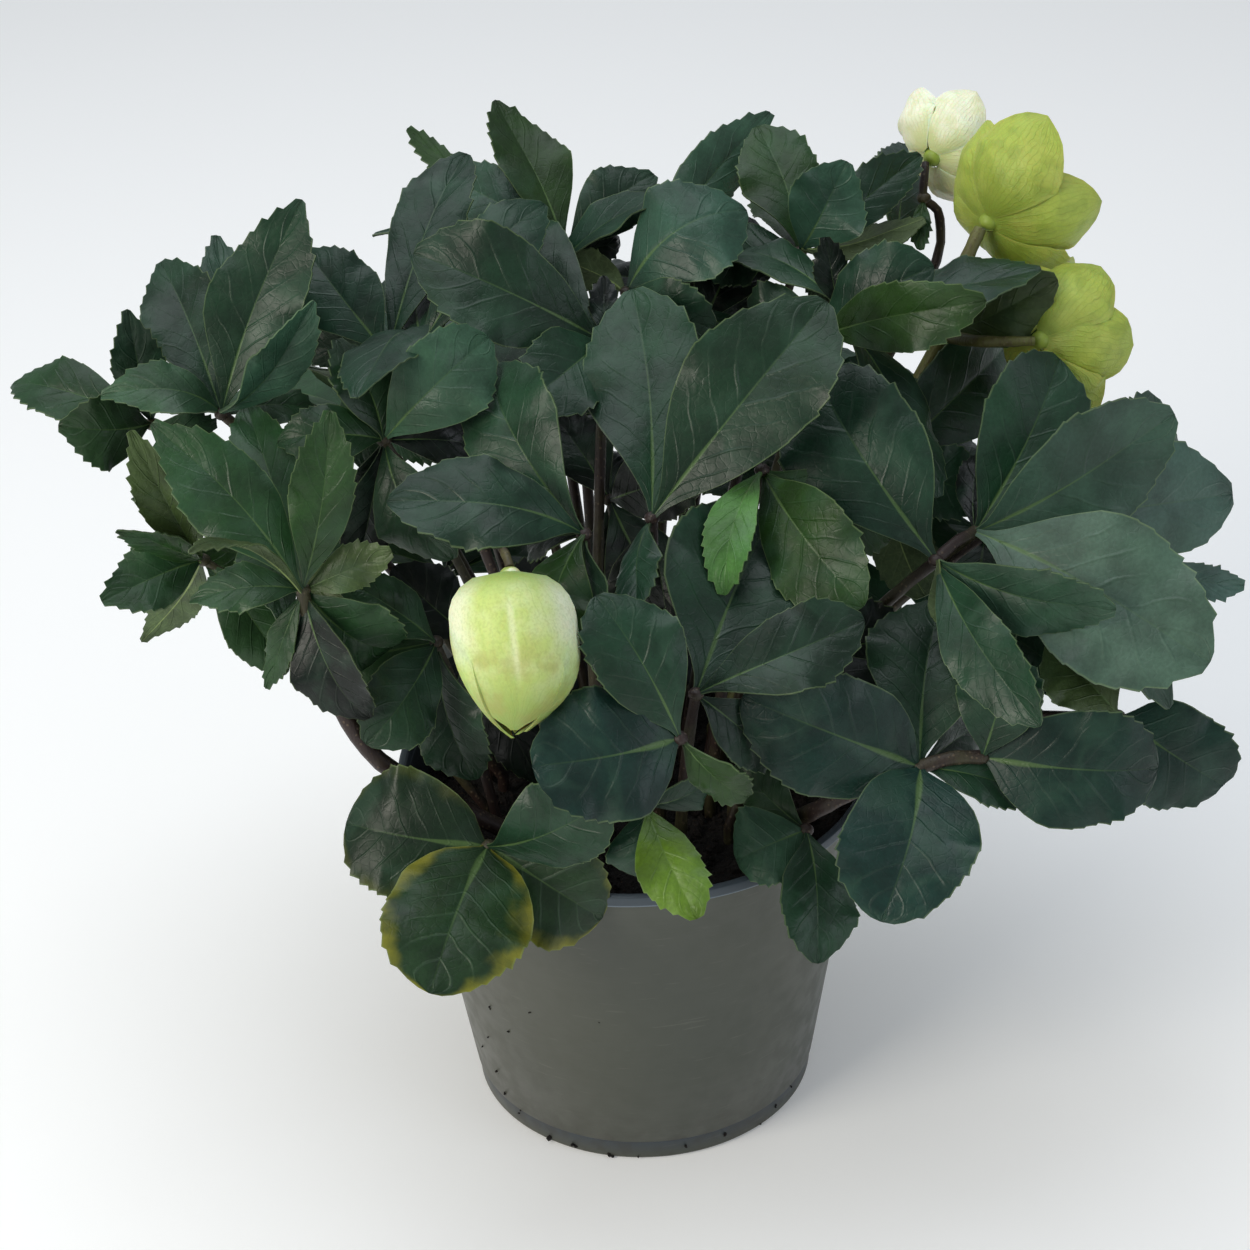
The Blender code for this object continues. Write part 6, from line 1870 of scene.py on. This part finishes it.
def bloom_heart(name, centre, facing):
    """Carpels, a ring of nectaries and a brush of stamens in the middle of an open bloom."""
    side = facing.orthogonal().normalized()
    dice = random.Random(name)
    parts = [knob(name + "_seat", centre + facing * 0.6, RECEPTACLE_RADIUS, "nectary_green", 0.9)]
    for k in range(NECTARY_COUNT):
        out = turned(side, facing, 360 / NECTARY_COUNT * k + 8)
        start = centre + out * 2.2 + facing * 1.5
        end = start + out * 3.2 + facing * 3.0
        parts.append(stalk(f"{name}_nectary_{k}", [start, end], [0.9, 1.3], "nectary_green", 2, 1))
    for k in range(CARPEL_COUNT):
        out = turned(side, facing, 360 / CARPEL_COUNT * k)
        start = centre + out * 0.9 + facing * 1.5
        path = [start, start + facing * 5 + out * 0.6, start + facing * 10 + out * 2.4]
        parts.append(stalk(f"{name}_carpel_{k}", path, [1.2, 1.0, 0.35], "nectary_green", 3, 1))
    anthers = []
    length = sizes().stamen_length / MM
    for k in range(STAMEN_COUNT):
        out = turned(side, facing, STAMEN_TURN * k)
        lean = math.radians(12 + 30 * math.sqrt((k + 0.5) / STAMEN_COUNT) + dice.uniform(-5, 5))
        reach = (out * math.sin(lean) + facing * math.cos(lean)) * length * dice.uniform(0.8, 1.1)
        start = centre + out * 1.6 + facing * 1.2
        path = [start, start + reach * 0.5 + facing * 0.6, start + reach]
        parts.append(stalk(f"{name}_thread_{k}", path, [0.22, 0.2, 0.18], "stamen_thread", 1, 0))
        anthers.append((start + reach, 0.75, 0.6))
    parts.append(scatter(name + "_anthers", crumb_template(), anthers, "anther_pollen"))
    return parts


class HELLEBORE_OT_blooms(bpy.types.Operator):
    """Model the open blooms: lapped sepals, nectaries, carpels and stamens"""

    bl_idname = "hellebore.blooms"
    bl_label = "Open blooms"

    def execute(self, context):
        for name, (centre, facing, blades, kind) in plan()["blooms"].items():
            parts = []
            for k, blade in enumerate(blades):
                blade.phase = 1.7 * k
                parts.append(new_piece(f"{name}_sepal_{k}", blade_mesh(blade, 0), f"sepal_{kind}_satin"))
            parts += bloom_heart(name, centre, facing)
            piece = join(name + "_fine", parts)
            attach(piece, "root")
            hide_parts(name)
        return {"FINISHED"}


class HELLEBORE_OT_bud(bpy.types.Operator):
    """Model the nodding bud: five smooth sepals wrapped round a closed body"""

    bl_idname = "hellebore.bud"
    bl_label = "Nodding bud"

    def execute(self, context):
        top = spot(*BUD_TOP)
        tip = spot(*BUD_TIP)
        axis = (tip - top).normalized()
        length = (tip - top).length
        front = TOWARD - axis * TOWARD.dot(axis)
        side = np.array(front.normalized())
        turn = np.cross(np.array(axis), side)
        parts = []
        for index, (heading, grow, span, reach, flare) in enumerate(BUD_WRAPS):
            mesh = blade_template(0).copy()
            flat = coordinates(mesh)
            along, v, lift = flat[:, 0], flat[:, 1], flat[:, 2]
            span = math.radians(span) * eased(along, BUD_SEPAL_OUTLINE)
            angle = math.radians(heading) + v * span
            radius = BUD_FINE_RADIUS * eased(along, BUD_FINE_PROFILE) + grow + flare * along ** 6
            # The edge waves, the face swells unevenly and the midline is pressed in
            radius = radius + 0.5 * np.abs(v) ** 6 * np.sin(9 * along + index)
            radius = radius + 0.35 * np.sin(3.1 * v + 5 * along + index) * np.sin(math.pi * along)
            radius = radius - 0.5 * np.exp(-(v / 0.07) ** 2) * np.sin(math.pi * along)
            radius = radius + lift * BUD_THICK
            down = length * along * reach
            out = side * np.cos(angle)[:, None] + turn * np.sin(angle)[:, None]
            points = np.array(top) + np.array(axis) * down[:, None] + out * np.maximum(radius, 0.05)[:, None]
            points = points + np.array(RIGHT) * (BUD_LEAN * np.sin(math.pi * along ** 2))[:, None]
            put_coordinates(mesh, points * MM)
            parts.append(new_piece(f"bud_sepal_{index}", mesh, "bud_sepal"))
        parts.append(knob("bud_neck", top + axis * 1.2, 3.6, "bud_sepal", 0.8))
        piece = join("bud_fine", parts)
        face_outwards(piece.data)
        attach(piece, "root")
        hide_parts("bud")
        return {"FINISHED"}


class HELLEBORE_OT_stage(bpy.types.Operator):
    """Set the pale floor, soft light and the camera at the picture's angle"""

    bl_idname = "hellebore.stage"
    bl_label = "Stage"

    def execute(self, context):
        select_only()
        bpy.ops.mesh.primitive_plane_add(size=8.0, location=(0, 0, 0))
        floor = context.object
        floor.name = "studio_floor"
        paint = bpy.data.materials.new("floor_paint")
        paint.use_nodes = True
        shader = paint.node_tree.nodes["Principled BSDF"]
        shader.inputs["Base Color"].default_value = (*to_linear(FLOOR_CODE), 1.0)
        shader.inputs["Roughness"].default_value = 0.9
        shader.inputs["Emission Color"].default_value = (1.0, 1.0, 1.0, 1.0)
        shader.inputs["Emission Strength"].default_value = FLOOR_GLOW
        floor.data.materials.append(paint)

        context.scene.view_settings.view_transform = "Standard"
        world = bpy.data.worlds.new("studio_air")
        world.use_nodes = True
        sky = world.node_tree.nodes["Background"]
        sky.inputs["Color"].default_value = (*to_linear("#dfe6ee"), 1.0)
        sky.inputs["Strength"].default_value = AIR_STRENGTH
        context.scene.world = world
        for name, place, size, power, code in LAMPS:
            bpy.ops.object.light_add(type="AREA", location=place)
            lamp = context.object
            lamp.name = name
            lamp.data.shape = "SQUARE"
            lamp.data.size = size
            lamp.data.energy = power
            lamp.data.color = to_linear(code)
            aim = Vector(place) - AIM * MM
            lamp.rotation_euler = aim.to_track_quat("Z", "Y").to_euler()

        eye = CAMERA * MM
        bpy.ops.object.camera_add(location=eye)
        camera = context.object
        camera.name = "picture_camera"
        turn = Matrix((RIGHT, UP, TOWARD)).transposed()
        camera.rotation_euler = turn.to_euler()
        camera.data.sensor_width = SENSOR
        camera.data.lens = LENS_PIXELS * SENSOR / (2 * PICTURE_MIDDLE)
        context.scene.camera = camera
        return {"FINISHED"}


STEPS = (
    HELLEBORE_OT_pot, HELLEBORE_OT_soil, HELLEBORE_OT_crumbs, HELLEBORE_OT_leaves, HELLEBORE_OT_back_leaves,
    HELLEBORE_OT_stems, HELLEBORE_OT_blooms, HELLEBORE_OT_bud, HELLEBORE_OT_stage,
)


class HELLEBORE_PT_panel(bpy.types.Panel):
    """Buttons for each step and the sizes and colours"""

    bl_label = "Hellebore"
    bl_idname = "HELLEBORE_PT_panel"
    bl_space_type = "VIEW_3D"
    bl_region_type = "UI"
    bl_category = "Hellebore"

    def draw(self, context):
        for step in STEPS:
            self.layout.operator(step.bl_idname)
        for group in (context.scene.hellebore_sizes, context.scene.hellebore_colours):
            for name in group.__annotations__:
                self.layout.prop(group, name)


CLASSES = (HelleboreSizes, HelleboreColours, *STEPS, HELLEBORE_PT_panel)


def register():
    for item in CLASSES:
        bpy.utils.register_class(item)
    bpy.types.Scene.hellebore_sizes = bpy.props.PointerProperty(type=HelleboreSizes)
    bpy.types.Scene.hellebore_colours = bpy.props.PointerProperty(type=HelleboreColours)


def unregister():
    del bpy.types.Scene.hellebore_colours
    del bpy.types.Scene.hellebore_sizes
    for item in reversed(CLASSES):
        bpy.utils.unregister_class(item)


def main():
    register()
    bpy.ops.hellebore.pot()
    bpy.ops.hellebore.soil()
    bpy.ops.hellebore.crumbs()
    bpy.ops.hellebore.leaves()
    bpy.ops.hellebore.back_leaves()
    bpy.ops.hellebore.stems()
    bpy.ops.hellebore.blooms()
    bpy.ops.hellebore.bud()
    bpy.ops.hellebore.stage()


if __name__ == "__main__":
    main()
